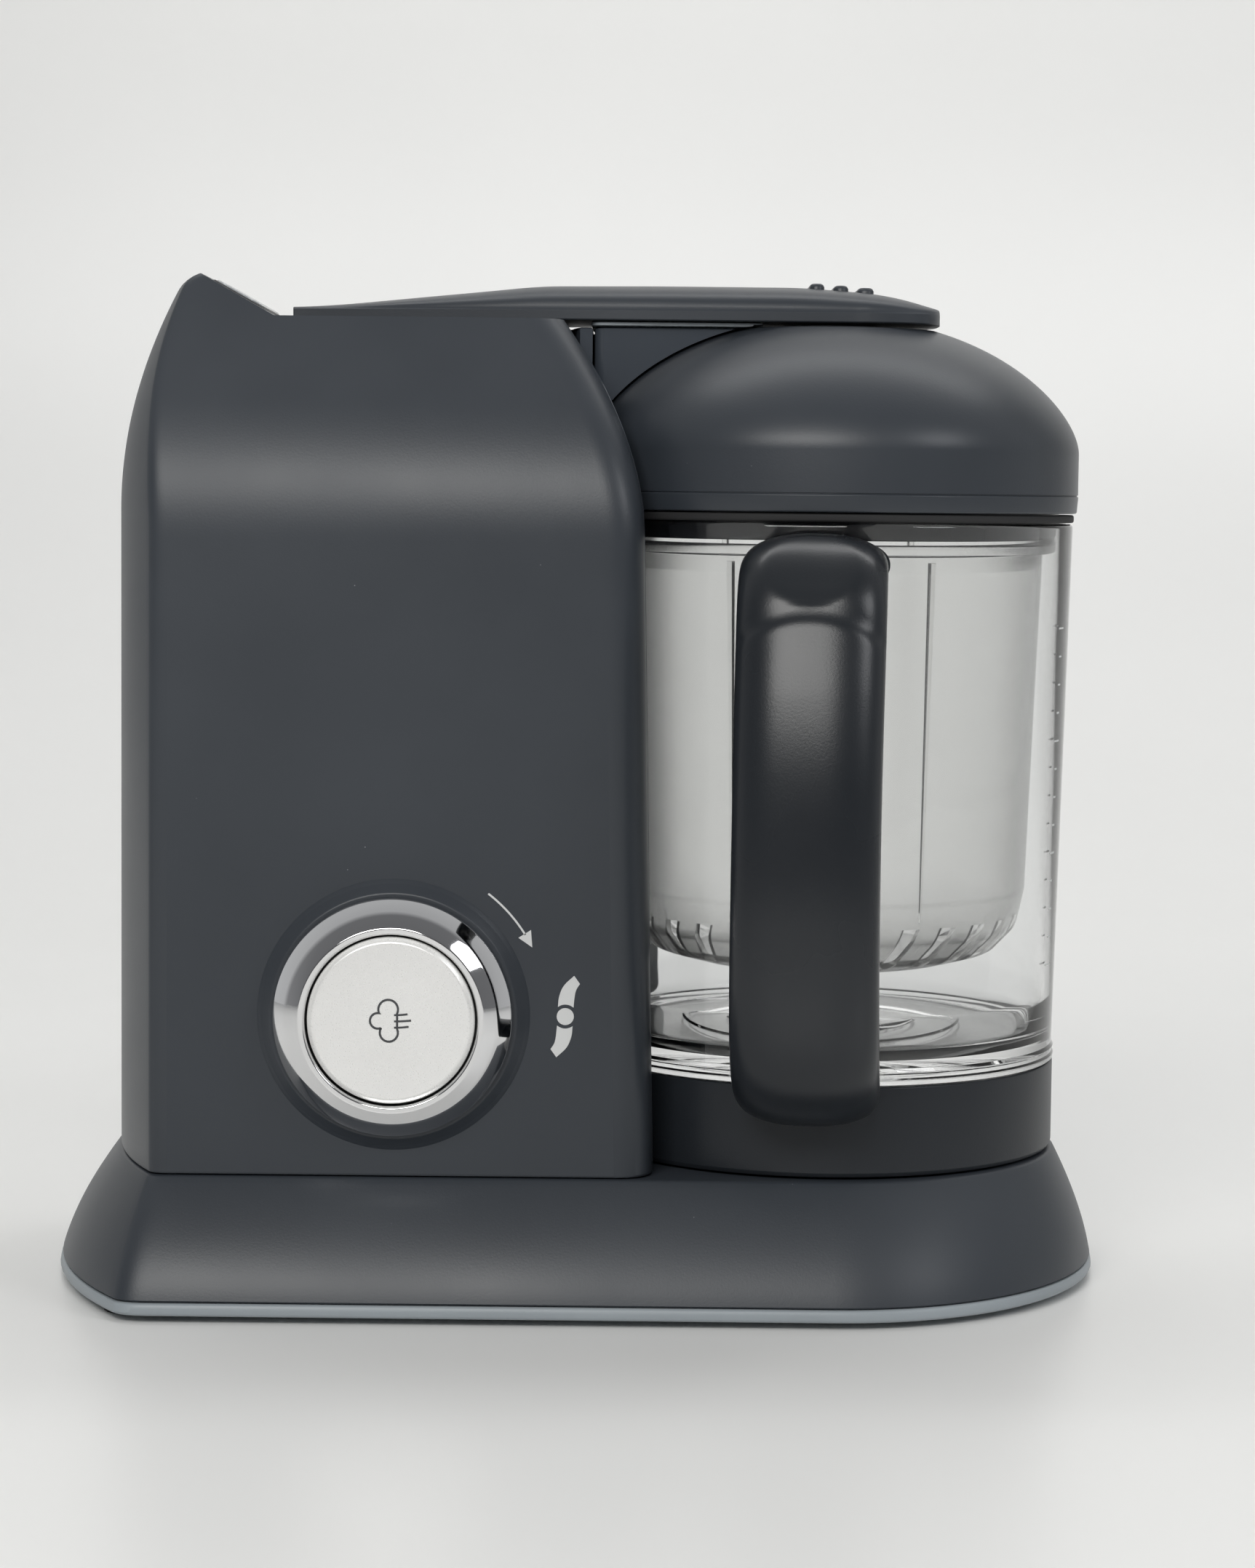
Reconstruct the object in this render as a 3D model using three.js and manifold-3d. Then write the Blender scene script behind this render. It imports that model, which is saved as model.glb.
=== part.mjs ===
// A countertop baby food maker that steams and blends: a housing column with a water boiler, motor
// and control knob, a flared base with a belt drive under the jar, a clear jar with a handle and a
// cooking basket, a domed lid, and a hinged arm that carries steam from the boiler to the lid.
// Millimetres, +Z up, the knob side faces -Y. Heights are measured from the worktop.
import * as THREE from "three";
import { mergeVertices } from "three/addons/utils/BufferGeometryUtils.js";
import Module from "manifold-3d";

const wasm = await Module();
wasm.setup();

// ---- Driving dimensions ----
const GAP = 0.3; // between neighbouring pieces
const WALL = 3; // housing walls
const FOOT_HEIGHT = 1.7;
const TRAY_Z = 2; // underside of the bottom tray
const BASE_Z = 5.5; // where the base shell starts, above the tray's light band
const DECK_Z = 34.5; // top of the base
const CREST_Z = 255.5; // flat top of the housing
const HUMP_Z = 267; // peak at the housing's outer end
const HUMP_FOOT_X = -80.5;
const HUMP_PEAK_X = -101.5;
const BASE_HALF_LENGTH = 141;
const BASE_HALF_DEPTH = 85;
const BODY_LEFT = -124.3;
const BODY_CORNER = -109; // where the bowed side meets the flat front and back
const BODY_HALF_DEPTH = 65;
const JAR_X = 66; // the jar's axis
const JAR_TOP_R = 66;
const JAR_BOTTOM_R = 62.8;
const COLLAR_R = 63.3;
const COLLAR_TOP_Z = 58.7;
const RIM_Z = 203.5; // rim of the jar
const LID_Z = 206.2; // lower edge of the lid
const LID_R = 67.2;
const LID_TOP_Z = 255;
const RECESS_R = 68.5; // the concave panel that the jar nests in
const MOTOR_X = -60;
const BOILER_X = -41;
const KNOB_X = -46.9;
const KNOB_Z = 76.7;
const HINGE_X = -75.5;
const HINGE_Z = 252.5;
const ARM_Z = 256; // underside of the arm
const ARM_LEFT = -78;
const ORIGIN_SHIFT = { x: 0, y: 12.5 }; // brings the middle of the outline to the origin
const HANDLE_TURN = THREE.MathUtils.degToRad(-5.5); // the handle stands a little left of straight ahead
const LARGE_PULLEY_R = 32;
const SMALL_PULLEY_R = 9;
const PULLEY_Z = [13, 21];

// ---- Materials ----
const material = (color, roughness, metalness = 0, more = {}) =>
  new THREE.MeshStandardMaterial({ color, roughness, metalness, ...more });
const MATERIALS = {
  charcoal: material(0x3b3e44, 0.55),
  satinCharcoal: material(0x4a4d52, 0.3),
  lightGrey: material(0x8d949a, 0.45),
  clear: material(0xf2f4f4, 0.05, 0, { transparent: true, opacity: 0.3 }),
  frosted: material(0xe6eaec, 0.3, 0, { transparent: true, opacity: 0.5 }),
  chrome: material(0xdadada, 0.06, 1),
  silver: material(0xd0d1d1, 0.35, 1),
  steel: material(0xb9bcbf, 0.3, 1),
  aluminium: material(0xa9acae, 0.5, 1),
  blackPlastic: material(0x17181a, 0.6),
  rubber: material(0x202124, 0.85),
  silicone: material(0xc9cccd, 0.6),
  copper: material(0x8a5a3a, 0.45, 1),
  boardGreen: material(0x2c5a3c, 0.6),
};

// ---- Shape helpers ----
const blend = (a, b, share) => a + (b - a) * share;

function solidOf(geometry) {
  const loose = geometry.index ? geometry.toNonIndexed() : geometry;
  const bare = new THREE.BufferGeometry().setAttribute("position", loose.getAttribute("position"));
  const merged = mergeVertices(bare, 1e-4);
  const mesh = new wasm.Mesh({
    numProp: 3,
    vertProperties: merged.attributes.position.array,
    triVerts: new Uint32Array(merged.index.array),
  });
  return new wasm.Manifold(mesh);
}

function geometryOf(solid) {
  const mesh = solid.getMesh();
  return new THREE.BufferGeometry()
    .setAttribute("position", new THREE.BufferAttribute(mesh.vertProperties, 3))
    .setIndex(new THREE.BufferAttribute(mesh.triVerts, 1));
}

const cut = (geometry, ...tools) =>
  geometryOf(tools.reduce((made, tool) => made.subtract(solidOf(tool)), solidOf(geometry)));
const join = (geometry, ...more) =>
  geometryOf(more.reduce((made, piece) => made.add(solidOf(piece)), solidOf(geometry)));
const common = (geometry, other) => geometryOf(solidOf(geometry).intersect(solidOf(other)));

// A profile of [radius, height] pairs turned about Z. It runs upwards on its outer side.
function turned(profile, segments = 24) {
  const points = profile.map(([r, z]) => new THREE.Vector2(r, z));
  return new THREE.LatheGeometry(points, segments).rotateX(Math.PI / 2);
}

const disc = (r, z0, z1, segments = 20) => turned([[0, z0], [r, z0], [r, z1], [0, z1]], segments);
const ring = (inner, outer, z0, z1, segments = 24) =>
  turned([[inner, z0], [outer, z0], [outer, z1], [inner, z1], [inner, z0]], segments);

function block([x0, x1], [y0, y1], [z0, z1]) {
  const box = new THREE.BoxGeometry(x1 - x0, y1 - y0, z1 - z0);
  return box.translate((x0 + x1) / 2, (y0 + y1) / 2, (z0 + z1) / 2);
}

function prism(shape, z0, z1, curveSegments = 12) {
  const options = { depth: z1 - z0, bevelEnabled: false, curveSegments };
  return new THREE.ExtrudeGeometry(shape, options).translate(0, 0, z0);
}

// A closed skin over rings of equally many points. The rings turn anticlockwise about the way they stack.
function loft(rings) {
  const count = rings[0].length;
  const points = rings.flat();
  const faces = [];
  for (let i = 0; i + 1 < rings.length; i++) {
    for (let j = 0; j < count; j++) {
      const next = (j + 1) % count;
      const [a, b] = [i * count + j, i * count + next];
      faces.push(a, b, b + count, a, b + count, a + count);
    }
  }
  const centre = (row) => row.reduce((sum, p) => sum.add(p), new THREE.Vector3()).divideScalar(count);
  const last = (rings.length - 1) * count;
  points.push(centre(rings[0]), centre(rings.at(-1)));
  for (let j = 0; j < count; j++) {
    const next = (j + 1) % count;
    faces.push(points.length - 2, next, j, points.length - 1, last + j, last + next);
  }
  return new THREE.BufferGeometry().setFromPoints(points).setIndex(faces);
}

// An arc from (cornerX, half) round through (leftX, 0) to (cornerX, -half), without its two ends.
function bowedSide(leftX, cornerX, half, steps) {
  const bulge = cornerX - leftX;
  const radius = (half * half + bulge * bulge) / (2 * bulge);
  const reach = Math.asin(half / radius);
  return Array.from({ length: steps - 1 }, (_, k) => {
    const angle = blend(reach, -reach, (k + 1) / steps);
    return [leftX + radius * (1 - Math.cos(angle)), radius * Math.sin(angle)];
  });
}

// Rounds the corner at point b, between its neighbours a and c.
function rounded(a, b, c, radius, steps = 3) {
  const toward = (p) => {
    const length = Math.hypot(p[0] - b[0], p[1] - b[1]);
    const share = Math.min(0.5, radius / length);
    return [blend(b[0], p[0], share), blend(b[1], p[1], share)];
  };
  const [from, to] = [toward(a), toward(c)];
  return Array.from({ length: steps + 1 }, (_, k) => {
    const t = k / steps;
    const at = (i) => blend(blend(from[i], b[i], t), blend(b[i], to[i], t), t);
    return [at(0), at(1)];
  });
}

const lift = (outline, z) => outline.map(([x, y]) => new THREE.Vector3(x, y, z));

// ---- Base ----
// How far the base has drawn in at height z, from 0 at the worktop to 1 at its top.
const flare = (z) => Math.pow(z / DECK_Z, 1.6);

// The base's outline at height z, drawn in by the wall where it is the inside.
function baseOutline(z, wall = 0) {
  const share = flare(z);
  const half = blend(BASE_HALF_DEPTH, BODY_HALF_DEPTH, share) - wall;
  const left = blend(-BASE_HALF_LENGTH, BODY_LEFT - 0.2, share) + wall;
  const corner = blend(-115, BODY_CORNER, share) + wall;
  const endRadius = blend(BASE_HALF_LENGTH, JAR_X + COLLAR_R + 0.5, share) - JAR_X - wall;
  const side = bowedSide(left, corner, half, 6);
  const start = rounded([JAR_X, half], [corner, half], side[0], 7);
  const stop = rounded(side.at(-1), [corner, -half], [JAR_X, -half], 7);
  const end = Array.from({ length: 13 }, (_, k) => {
    const angle = blend(-Math.PI / 2, Math.PI / 2, k / 12);
    return [JAR_X + endRadius * Math.cos(angle), half * Math.sin(angle)];
  });
  return [...start, ...side, ...stop, ...end];
}

function baseShell() {
  const levels = [BASE_Z, 12, 19, 26, 31, DECK_Z];
  const outer = loft(levels.map((z) => lift(baseOutline(z), z)));
  const insideTop = DECK_Z - WALL;
  const hollow = [BASE_Z - 1, 12, 19, 26, insideTop];
  const inner = loft(hollow.map((z) => lift(baseOutline(Math.max(z, BASE_Z), WALL), z)));
  const bosses = TRAY_SCREWS.map(([x, y]) => disc(5, BASE_Z, 32, 16).translate(x, y, 0));
  const shaftHole = disc(13.5, 20, 40).translate(JAR_X, 0, 0);
  const motorHole = disc(14, 20, 40).translate(MOTOR_X, 0, 0);
  const pilots = TRAY_SCREWS.map(([x, y]) => disc(2, 0, 13, 12).translate(x, y, 0));
  return cut(join(cut(outer, inner), ...bosses), shaftHole, motorHole, ...pilots);
}

function bottomTray() {
  const rise = BASE_Z - GAP;
  const plate = loft([TRAY_Z, rise].map((z) => lift(baseOutline(z), z)));
  const hollow = loft([TRAY_Z + 2, rise + 1].map((z) => lift(baseOutline(rise, WALL), z)));
  const holes = TRAY_SCREWS.map(([x, y]) => disc(2, 0, 8, 12).translate(x, y, 0));
  return cut(plate, hollow, ...holes);
}

const TRAY_SCREWS = [[-92, -56], [-92, 56], [78, -58], [78, 58]];
const FEET = { front_left: [-112, -66], rear_left: [-112, 66], front_right: [98, -52], rear_right: [98, 52] };

function trayScrew() {
  return turned([[0, 0.9], [3.2, 0.9], [3.2, 1.7], [1.7, 1.7], [1.7, 12], [0, 12]], 12);
}

// ---- Housing column ----
// The front and back rise straight, then bend over into a plane that leans inwards.
const BEND_Z = [198, 234];
const LEAN = 0.62;

function bodyHalf(z) {
  const [start, end] = BEND_Z;
  const bent = Math.min(Math.max(z - start, 0), end - start);
  return BODY_HALF_DEPTH - (LEAN * bent * bent) / (2 * (end - start)) - LEAN * Math.max(0, z - end);
}

function bodyLeft(z) {
  const bowed = BODY_LEFT + 11.6 * Math.pow(Math.max(0, z - 205) / 50.5, 2);
  return bowed + 3.2 * Math.pow(Math.max(0, z - 262) / 5, 3);
}

const bodyRight = (z) => {
  const drafted = 20 - 0.0235 * (Math.min(z, 200) - DECK_Z);
  return z > 200 ? drafted - 20.6 * Math.pow((z - 200) / 54, 1.8) : drafted;
};

function bodyOutline(z, wall = 0) {
  const left = bodyLeft(z);
  const half = bodyHalf(z);
  const corner = left + (BODY_CORNER - BODY_LEFT) * Math.pow(half / BODY_HALF_DEPTH, 2) + wall;
  const side = bowedSide(left + wall, corner, half - wall, 6);
  const right = bodyRight(z) - wall;
  const inside = half - wall;
  return [
    ...rounded([right, inside], [corner, inside], side[0], 4),
    ...side,
    ...rounded(side.at(-1), [corner, -inside], [right, -inside], 4),
    ...rounded([corner, -inside], [right, -inside], [right, inside], 10, 4),
    ...rounded([right, -inside], [right, inside], [corner, inside], 10, 4),
  ];
}

const BODY_LEVELS = [120, 198, 207, 216, 225, 234, 241, 248];

function bodyShell() {
  const levels = [DECK_Z + GAP, ...BODY_LEVELS, 254, 259, 263, 265.5, HUMP_Z];
  const column = loft(levels.map((z) => lift(bodyOutline(z), z)));
  const inside = [DECK_Z - 1, ...BODY_LEVELS, CREST_Z - WALL];
  const cavity = loft(inside.map((z) => lift(bodyOutline(z, WALL), z)));
  const aroundJar = (r) => disc(r, 0, 300, 56).translate(JAR_X, 0, 0);
  const hollow = cut(cavity, aroundJar(RECESS_R + 2.5 + WALL));
  const fillerHole = disc(16.5, 240, 260).translate(BOILER_X, 0, 0);
  const hingeHole = block([-82.7, -67.3], [-19.3, 19.3], [245, 262]);
  const stemHole = facingFront(disc(10, -20, 20)).translate(KNOB_X, -BODY_HALF_DEPTH, KNOB_Z);
  const glandHole = facingFront(disc(6, -20, 20, 16)).translate(MOTOR_X, BODY_HALF_DEPTH, 46);
  const slots = Array.from({ length: 6 }, (_, k) => block([-96, -24], [50, 80], [66 + 7 * k, 69 + 7 * k]));
  const plinth = facingFront(turned([[0, -2], [38, -2], [38, 0], [33.5, 3], [0, 3]], 40));
  const withPlinth = join(column, plinth.translate(KNOB_X, -BODY_HALF_DEPTH, KNOB_Z));
  const holes = [fillerHole, hingeHole, stemHole, glandHole, ...slots];
  return cut(withPlinth, roofSpace(), aroundJar(RECESS_R + 2.5), hollow, ...holes);
}

// What is above the flat crest and the slope that rises from it to the hump.
function roofSpace() {
  const slope = [[HUMP_FOOT_X, CREST_Z], [HUMP_PEAK_X, HUMP_Z + 0.2]];
  const side = [slope[0], [60, CREST_Z], [60, 300], [HUMP_PEAK_X, 300], slope[1]];
  const shape = new THREE.Shape(side.map(([x, z]) => new THREE.Vector2(x, z)));
  return facingFront(prism(shape, -100, 100));
}

// Turns a shape built along +Z so that it points out of the front, along -Y.
const facingFront = (geometry) => geometry.rotateX(Math.PI / 2);

// The concave panel behind the jar. A cheek at its top, with a flap at the back, meets the steam duct.
function recessPanel() {
  const wall = ring(RECESS_R, RECESS_R + 2, DECK_Z + GAP, CREST_Z - 1.2, 56).translate(JAR_X, 0, 0);
  const edge = new THREE.Shape();
  edge.moveTo(-20, 30);
  edge.lineTo(bodyRight(DECK_Z) - 2, 30);
  edge.lineTo(bodyRight(200) - 2, 200);
  edge.quadraticCurveTo(bodyRight(225), 225, 0.9, 260);
  edge.lineTo(-20, 260);
  const reach = new THREE.ExtrudeGeometry(edge, { depth: 140, bevelEnabled: false, curveSegments: 6 });
  const panel = common(wall, reach.rotateX(Math.PI / 2).translate(0, 70, 0));
  const inRecess = disc(RECESS_R + 2, 200, 300, 56).translate(JAR_X, 0, 0);
  const cheek = common(block([-10, 2], [-20, 22.4], [239.5, 254.2]), inRecess);
  const flap = block([1, 5], [20.6, 22.4], [239.5, 254.2]);
  return join(panel, cheek, flap);
}

// The block sunk in the crest that holds the arm's pin.
function hingeCradle() {
  const outside = block([-82.4, -67.6], [-19, 19], [245.4, CREST_Z - 0.2]);
  const room = block([-81.6, -68.8], [-15.5, 15.5], [247.6, 260]);
  const pocket = join(room, block([-83, -80], [-15.5, 15.5], [249, 260]));
  const pinHole = facingFront(disc(1.85, -25, 25, 16)).translate(HINGE_X, 0, HINGE_Z);
  return cut(outside, pocket, pinHole);
}

// ---- Boiler and controls inside the column ----
function boilerTank() {
  const outside = [[0, 176], [32, 176], [32, 224], [28, 231], [16, 233], [16, 249.5]];
  const inside = [[12.5, 249.5], [12.5, 229.5], [26, 228], [29.5, 223], [29.5, 179], [0, 179]];
  return turned([...outside, ...inside], 28);
}

const fillerCollar = () =>
  turned([[13, 249.8], [16.2, 249.8], [16.2, 255.5], [14.6, 255.5], [13, 252], [13, 249.8]], 28);
const heatingPlate = () => disc(31, 169, 175.7, 28);

function heatingElement() {
  const section = Array.from({ length: 9 }, (_, k) => {
    const angle = (k / 8) * 2 * Math.PI;
    return [24 + 3.2 * Math.cos(angle), 165.4 + 3.2 * Math.sin(angle)];
  });
  return turned(section, 28);
}

const thermostat = () => join(disc(9, 162, 168.7, 16), block([-3, 3], [-14, 14], [163, 165]));
const motorMount = () =>
  turned([[12, 34.8], [37, 34.8], [37, 37.5], [31, 37.5], [31, 54.7], [28, 54.7], [28, 37.5], [12, 37.5],
    [12, 34.8]], 28);

function motorCase() {
  const outside = [[4, 55], [29, 55], [29, 140], [4, 140]];
  const inside = [[4, 137.5], [26.5, 137.5], [26.5, 57.5], [4, 57.5], [4, 55]];
  return turned([...outside, ...inside], 28);
}

function controlBoard() {
  const board = block([-100, -14], [-46, -44.4], [118, 166]);
  const relay = block([-92, -74], [-44.5, -32], [124, 140]);
  const capacitor = disc(7, 0, 22, 14).translate(-56, -37, 132);
  const terminals = block([-40, -20], [-44.5, -36], [150, 160]);
  const base = block([-63, -49], [-44.5, -30.5], [130, 132.5]);
  return join(board, relay, base, capacitor, terminals);
}

const switchBlock = () =>
  cut(block([KNOB_X - 15, KNOB_X + 15], [-46, -31], [KNOB_Z - 15, KNOB_Z + 15]),
    facingFront(disc(9, 0, 60, 16)).translate(KNOB_X, -34, KNOB_Z));

function cordGland() {
  const profile = [[3.6, 4], [3.6, -7], [6, -7], [9, -3], [9, -0.4], [5.6, -0.4], [5.6, 4], [3.6, 4]];
  return facingFront(turned(profile, 20));
}

// ---- Knob and button, built along the way they point out of the front ----
function knobRing() {
  const face = [[30.5, 4], [30.5, 5.2], [29.6, 6.6], [26.6, 9.4], [23.4, 11.4], [22.4, 11.5], [21.9, 11.1]];
  return turned([[21.9, 5.4], [28, 5.4], [28, 4], ...face, [21.9, 5.4]], 36);
}

const knobCarrier = () =>
  turned([[4.3, -26], [8.2, -26], [8.2, 3.5], [27.6, 3.5], [27.6, 5.1], [4.3, 5.1], [4.3, -26]], 28);
const buttonDisc = () => turned([[0, 8.4], [21.3, 8.4], [21.3, 10.4], [20.6, 11], [12, 11.5], [0, 11.7]], 28);
const buttonStem = () => disc(3.7, -28, 8.1, 14);

// ---- Drive under the jar ----
// A lobed star, the outline of the drive coupling, grown by a clearance for its socket.
function starShape(inner, outer, lobes) {
  const steps = lobes * 4;
  const points = Array.from({ length: steps }, (_, k) => {
    const radius = k % 4 < 2 ? outer : inner;
    const angle = (k / steps) * 2 * Math.PI;
    return new THREE.Vector2(radius * Math.cos(angle), radius * Math.sin(angle));
  });
  return new THREE.Shape(points);
}

const driveShaft = () => disc(5, 12, 40, 20);
const driveBush = () =>
  turned([[5.4, 24], [13, 24], [13, 34.6], [17, 34.6], [17, 37.5], [5.4, 37.5], [5.4, 24]], 28);
const driveCoupling = () => prism(starShape(8.5, 13, 6), 40.3, 50);
const blankPulley = (r) => {
  const [low, high] = PULLEY_Z;
  return [[r, low], [r, high], [r + 1, high + 0.2], [r + 1, high + 1.4]];
};

function pulley(r, bore) {
  const [low, high] = PULLEY_Z;
  const flange = [[r + 1.6, low - 1.5], [r + 1.6, low - 0.4], ...blankPulley(r)];
  return turned([[bore, low - 1.5], ...flange, [bore, high + 1.4], [bore, low - 1.5]], 28);
}

// The flat belt: a band round both pulleys, with straight runs along their common tangents.
function belt() {
  const span = JAR_X - MOTOR_X;
  const lean = Math.asin((LARGE_PULLEY_R - SMALL_PULLEY_R) / span);
  const band = (grow) => {
    const around = (x, r, from, to, steps) =>
      Array.from({ length: steps + 1 }, (_, k) => {
        const angle = blend(from, to, k / steps);
        return new THREE.Vector2(x + r * Math.cos(angle), r * Math.sin(angle));
      });
    const half = Math.PI / 2;
    const big = around(JAR_X, (LARGE_PULLEY_R + grow) * 1.004, -half - lean, half + lean, 28);
    const small = around(MOTOR_X, (SMALL_PULLEY_R + grow) * 1.01, half + lean, 3 * half - lean, 10);
    return [...big, ...small];
  };
  const shape = new THREE.Shape(band(2));
  shape.holes.push(new THREE.Path(band(GAP + 0.1).reverse()));
  return prism(shape, PULLEY_Z[0] + 0.4, PULLEY_Z[1] - 0.4);
}

const dockRing = () => ring(46, 52, DECK_Z + GAP, 43, 28);

// ---- Motor rotor ----
function motorShaft() {
  const winding = [[19, 76], [19, 118], [9, 120]];
  return turned([[0, 10.5], [3, 10.5], [3, 76], ...winding, [9, 130], [3, 130], [3, 144], [0, 144]]);
}

function motorFan() {
  const hub = ring(3.3, 7, 60, 68, 20);
  const blade = () => block([6, 23], [-0.9, 0.9], [60.5, 67.5]);
  const blades = Array.from({ length: 6 }, (_, k) => blade().rotateZ((k * Math.PI) / 3));
  return join(hub, ...blades);
}

// ---- Jar, in the jar's own frame with Z on its axis ----
const jarRadius = (z) => blend(JAR_BOTTOM_R, JAR_TOP_R, (z - COLLAR_TOP_Z) / (RIM_Z - COLLAR_TOP_Z));

function bowl() {
  const wall = 2.6;
  const footR = COLLAR_R + 0.2;
  const outside = [[8, 59], [footR, 59], [footR, 62.2], [jarRadius(63), 63], [JAR_TOP_R, RIM_Z]];
  const inside = [[JAR_TOP_R - wall, RIM_Z], [jarRadius(72) - wall, 72], [58.4, 67], [55, 64.4]];
  const boss = [[26, 64.4], [25, 66], [12, 66], [11.5, 69], [8, 69], [8, 59]];
  return turned([...outside, ...inside, ...boss], 40);
}

function collar() {
  const outside = [[60, 35], [COLLAR_R - 0.6, 35], [COLLAR_R, 36], [COLLAR_R, COLLAR_TOP_Z]];
  const top = [[20, COLLAR_TOP_Z], [20, 56.2], [60, 56.2], [60, 35]];
  return turned([...outside, ...top], 40);
}

const jarBush = () =>
  turned([[4.1, 53], [19.6, 53], [19.6, 58.6], [7.6, 58.6], [7.6, 72], [4.1, 72], [4.1, 53]]);

// A soft-cornered section of the handle: a superellipse, wide along X.
function handleSection(centre, along, halfWidth, halfThick) {
  const wide = new THREE.Vector3(1, 0, 0);
  const thick = new THREE.Vector3().crossVectors(along, wide);
  return Array.from({ length: 16 }, (_, k) => {
    const angle = (k / 16) * 2 * Math.PI;
    const soft = (v) => Math.sign(v) * Math.pow(Math.abs(v), 0.7);
    return centre
      .clone()
      .addScaledVector(wide, halfWidth * soft(Math.cos(angle)))
      .addScaledVector(thick, halfThick * soft(Math.sin(angle)));
  });
}

function handle() {
  const upper = [[60, 190], [78, 190], [91, 184.5], [98.5, 172], [101, 150]];
  const route = [...upper, [101, 118], [99, 88], [92, 69], [78, 60], [60, 57]];
  const curve = new THREE.CatmullRomCurve3(route.map(([reach, z]) => new THREE.Vector3(0, -reach, z)));
  const steps = 18;
  const rings = Array.from({ length: steps + 1 }, (_, k) => {
    const share = k / steps;
    const ends = Math.pow(Math.abs(2 * share - 1), 6);
    const halfWidth = 18.5 - 2.5 * ends;
    return handleSection(curve.getPointAt(share), curve.getTangentAt(share), halfWidth, 8.5 - 1.5 * ends);
  });
  const beside = [[COLLAR_R + GAP, 40], [COLLAR_R + GAP, 59], [COLLAR_R + 0.6, 63], [JAR_TOP_R + 0.5, 205]];
  const jarSpace = turned([[0, 40], ...beside, [0, 205]], 48);
  return cut(loft(rings), jarSpace);
}

function basket() {
  const wall = 1.8;
  const corner = [[36, 84], [46, 87], [52.5, 93], [55, 102]];
  const outside = [[0, 84], ...corner, [58.6, 194.5], [62.4, 195], [62.4, 197.8]];
  const insideCorner = [[55 - wall, 102.4], [51.2, 94.2], [45, 88.8], [36, 84 + wall]];
  const inside = [[58.6 - wall, 197.8], ...insideCorner, [0, 84 + wall]];
  const slot = () => block([40, 57], [-1.6, 1.6], [86, 97]).rotateX(0.35);
  const slots = Array.from({ length: 12 }, (_, k) => slot().rotateZ((k / 12) * 2 * Math.PI));
  return cut(turned([...outside, ...inside], 36), ...slots);
}

// ---- Lid ----
// The dome's outer curve from its lower band to its flat top, moved in by the wall for the inside.
function domeCurve(wall, steps) {
  const r = LID_R - wall;
  const drop = wall * 0.9;
  const at = (x, z) => new THREE.Vector2(x, z - drop);
  const curve = new THREE.CubicBezierCurve(at(r, 222), at(r, 233), at(45 - wall, 258.5), at(0, 258.5));
  const flat = LID_TOP_Z - drop;
  const points = curve.getPoints(steps).filter((p) => p.y < flat - 0.2);
  return points.map((p) => [p.x, p.y]);
}

function lidDome() {
  const wall = 2.8;
  const outer = domeCurve(0, 8);
  const inner = domeCurve(wall, 4).reverse();
  const band = [[LID_R - 2, LID_Z], [LID_R, LID_Z + 0.6], [LID_R + 0.1, 211]];
  const top = [[28, LID_TOP_Z], [6, LID_TOP_Z], [6, LID_TOP_Z - wall], [26, LID_TOP_Z - wall]];
  return turned([...band, ...outer, ...top, ...inner, [LID_R - wall, LID_Z], [LID_R - 2, LID_Z]], 40);
}

const lidSkirt = () => ring(59.8, 62.2, 198.8, 212, 40);
const lidGasket = () => ring(62.6, 66.2, 203.8, 205.9, 40);

// ---- Blade and its socket ----
function drivenCoupling() {
  const socket = prism(starShape(9.3, 13.8, 6), 40, 51);
  return cut(disc(18, 43, 52.7, 24), socket);
}

const bladeShaft = () => turned([[0, 52.9], [3.8, 52.9], [3.8, 74], [3, 74], [3, 82], [0, 82]], 16);
const bladeHub = () => turned([[4.1, 72.4], [9, 72.4], [8, 76], [4.1, 76], [4.1, 72.4]], 20);
const bladeNut = () => turned([[3.3, 79], [7, 79], [6.4, 83], [3.3, 83], [3.3, 79]], 12);

// Two swept arms of sheet steel, curving back from the hub.
function blade() {
  const arm = new THREE.Shape();
  arm.moveTo(-7, 0);
  arm.lineTo(0, -7);
  arm.quadraticCurveTo(20, -9, 41, 6);
  arm.lineTo(42, 9);
  arm.quadraticCurveTo(22, 4, 0, 7);
  const one = prism(arm, 76.3, 77.8, 6);
  const other = prism(arm, 76.3, 77.8, 6).rotateZ(Math.PI);
  return cut(join(one, other), disc(3.3, 70, 80, 16)).rotateZ(Math.PI / 2);
}

// ---- Arm ----
const ARM_STATIONS = [
  [ARM_LEFT, 13.5, 0.4], [-66, 15, 1.2], [-45, 18, 3.4], [-28, 20.5, 5.1], [-12, 22.5, 6.8], [20, 24, 7.1],
  [58, 24, 7.1], [78, 23.5, 5.6], [88, 21.5, 3.4], [93.5, 17, 1.6], [95, 12, 1],
];

// Sections across the arm: an upright band below, sloping shoulders and a narrower top.
function armSections(wall, floor) {
  return ARM_STATIONS.map(([x, half, crown], k) => {
    const end = k === 0 ? wall : k === ARM_STATIONS.length - 1 ? -wall : 0;
    const band = ARM_Z + 2.6 - wall * 0.5;
    const top = ARM_Z + 2.6 + crown - wall;
    const w = half - wall;
    const shoulder = Math.max(2, w - crown * 1.25);
    const edge = top - crown * 0.12;
    const right = [[w, floor], [w, band], [shoulder, edge], [shoulder * 0.55, top]];
    const points = [...right, ...right.map(([y, z]) => [-y, z]).reverse()];
    return points.map(([y, z]) => new THREE.Vector3(x + end, y, Math.max(z, floor + 0.2 * (z > floor))));
  });
}

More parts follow.
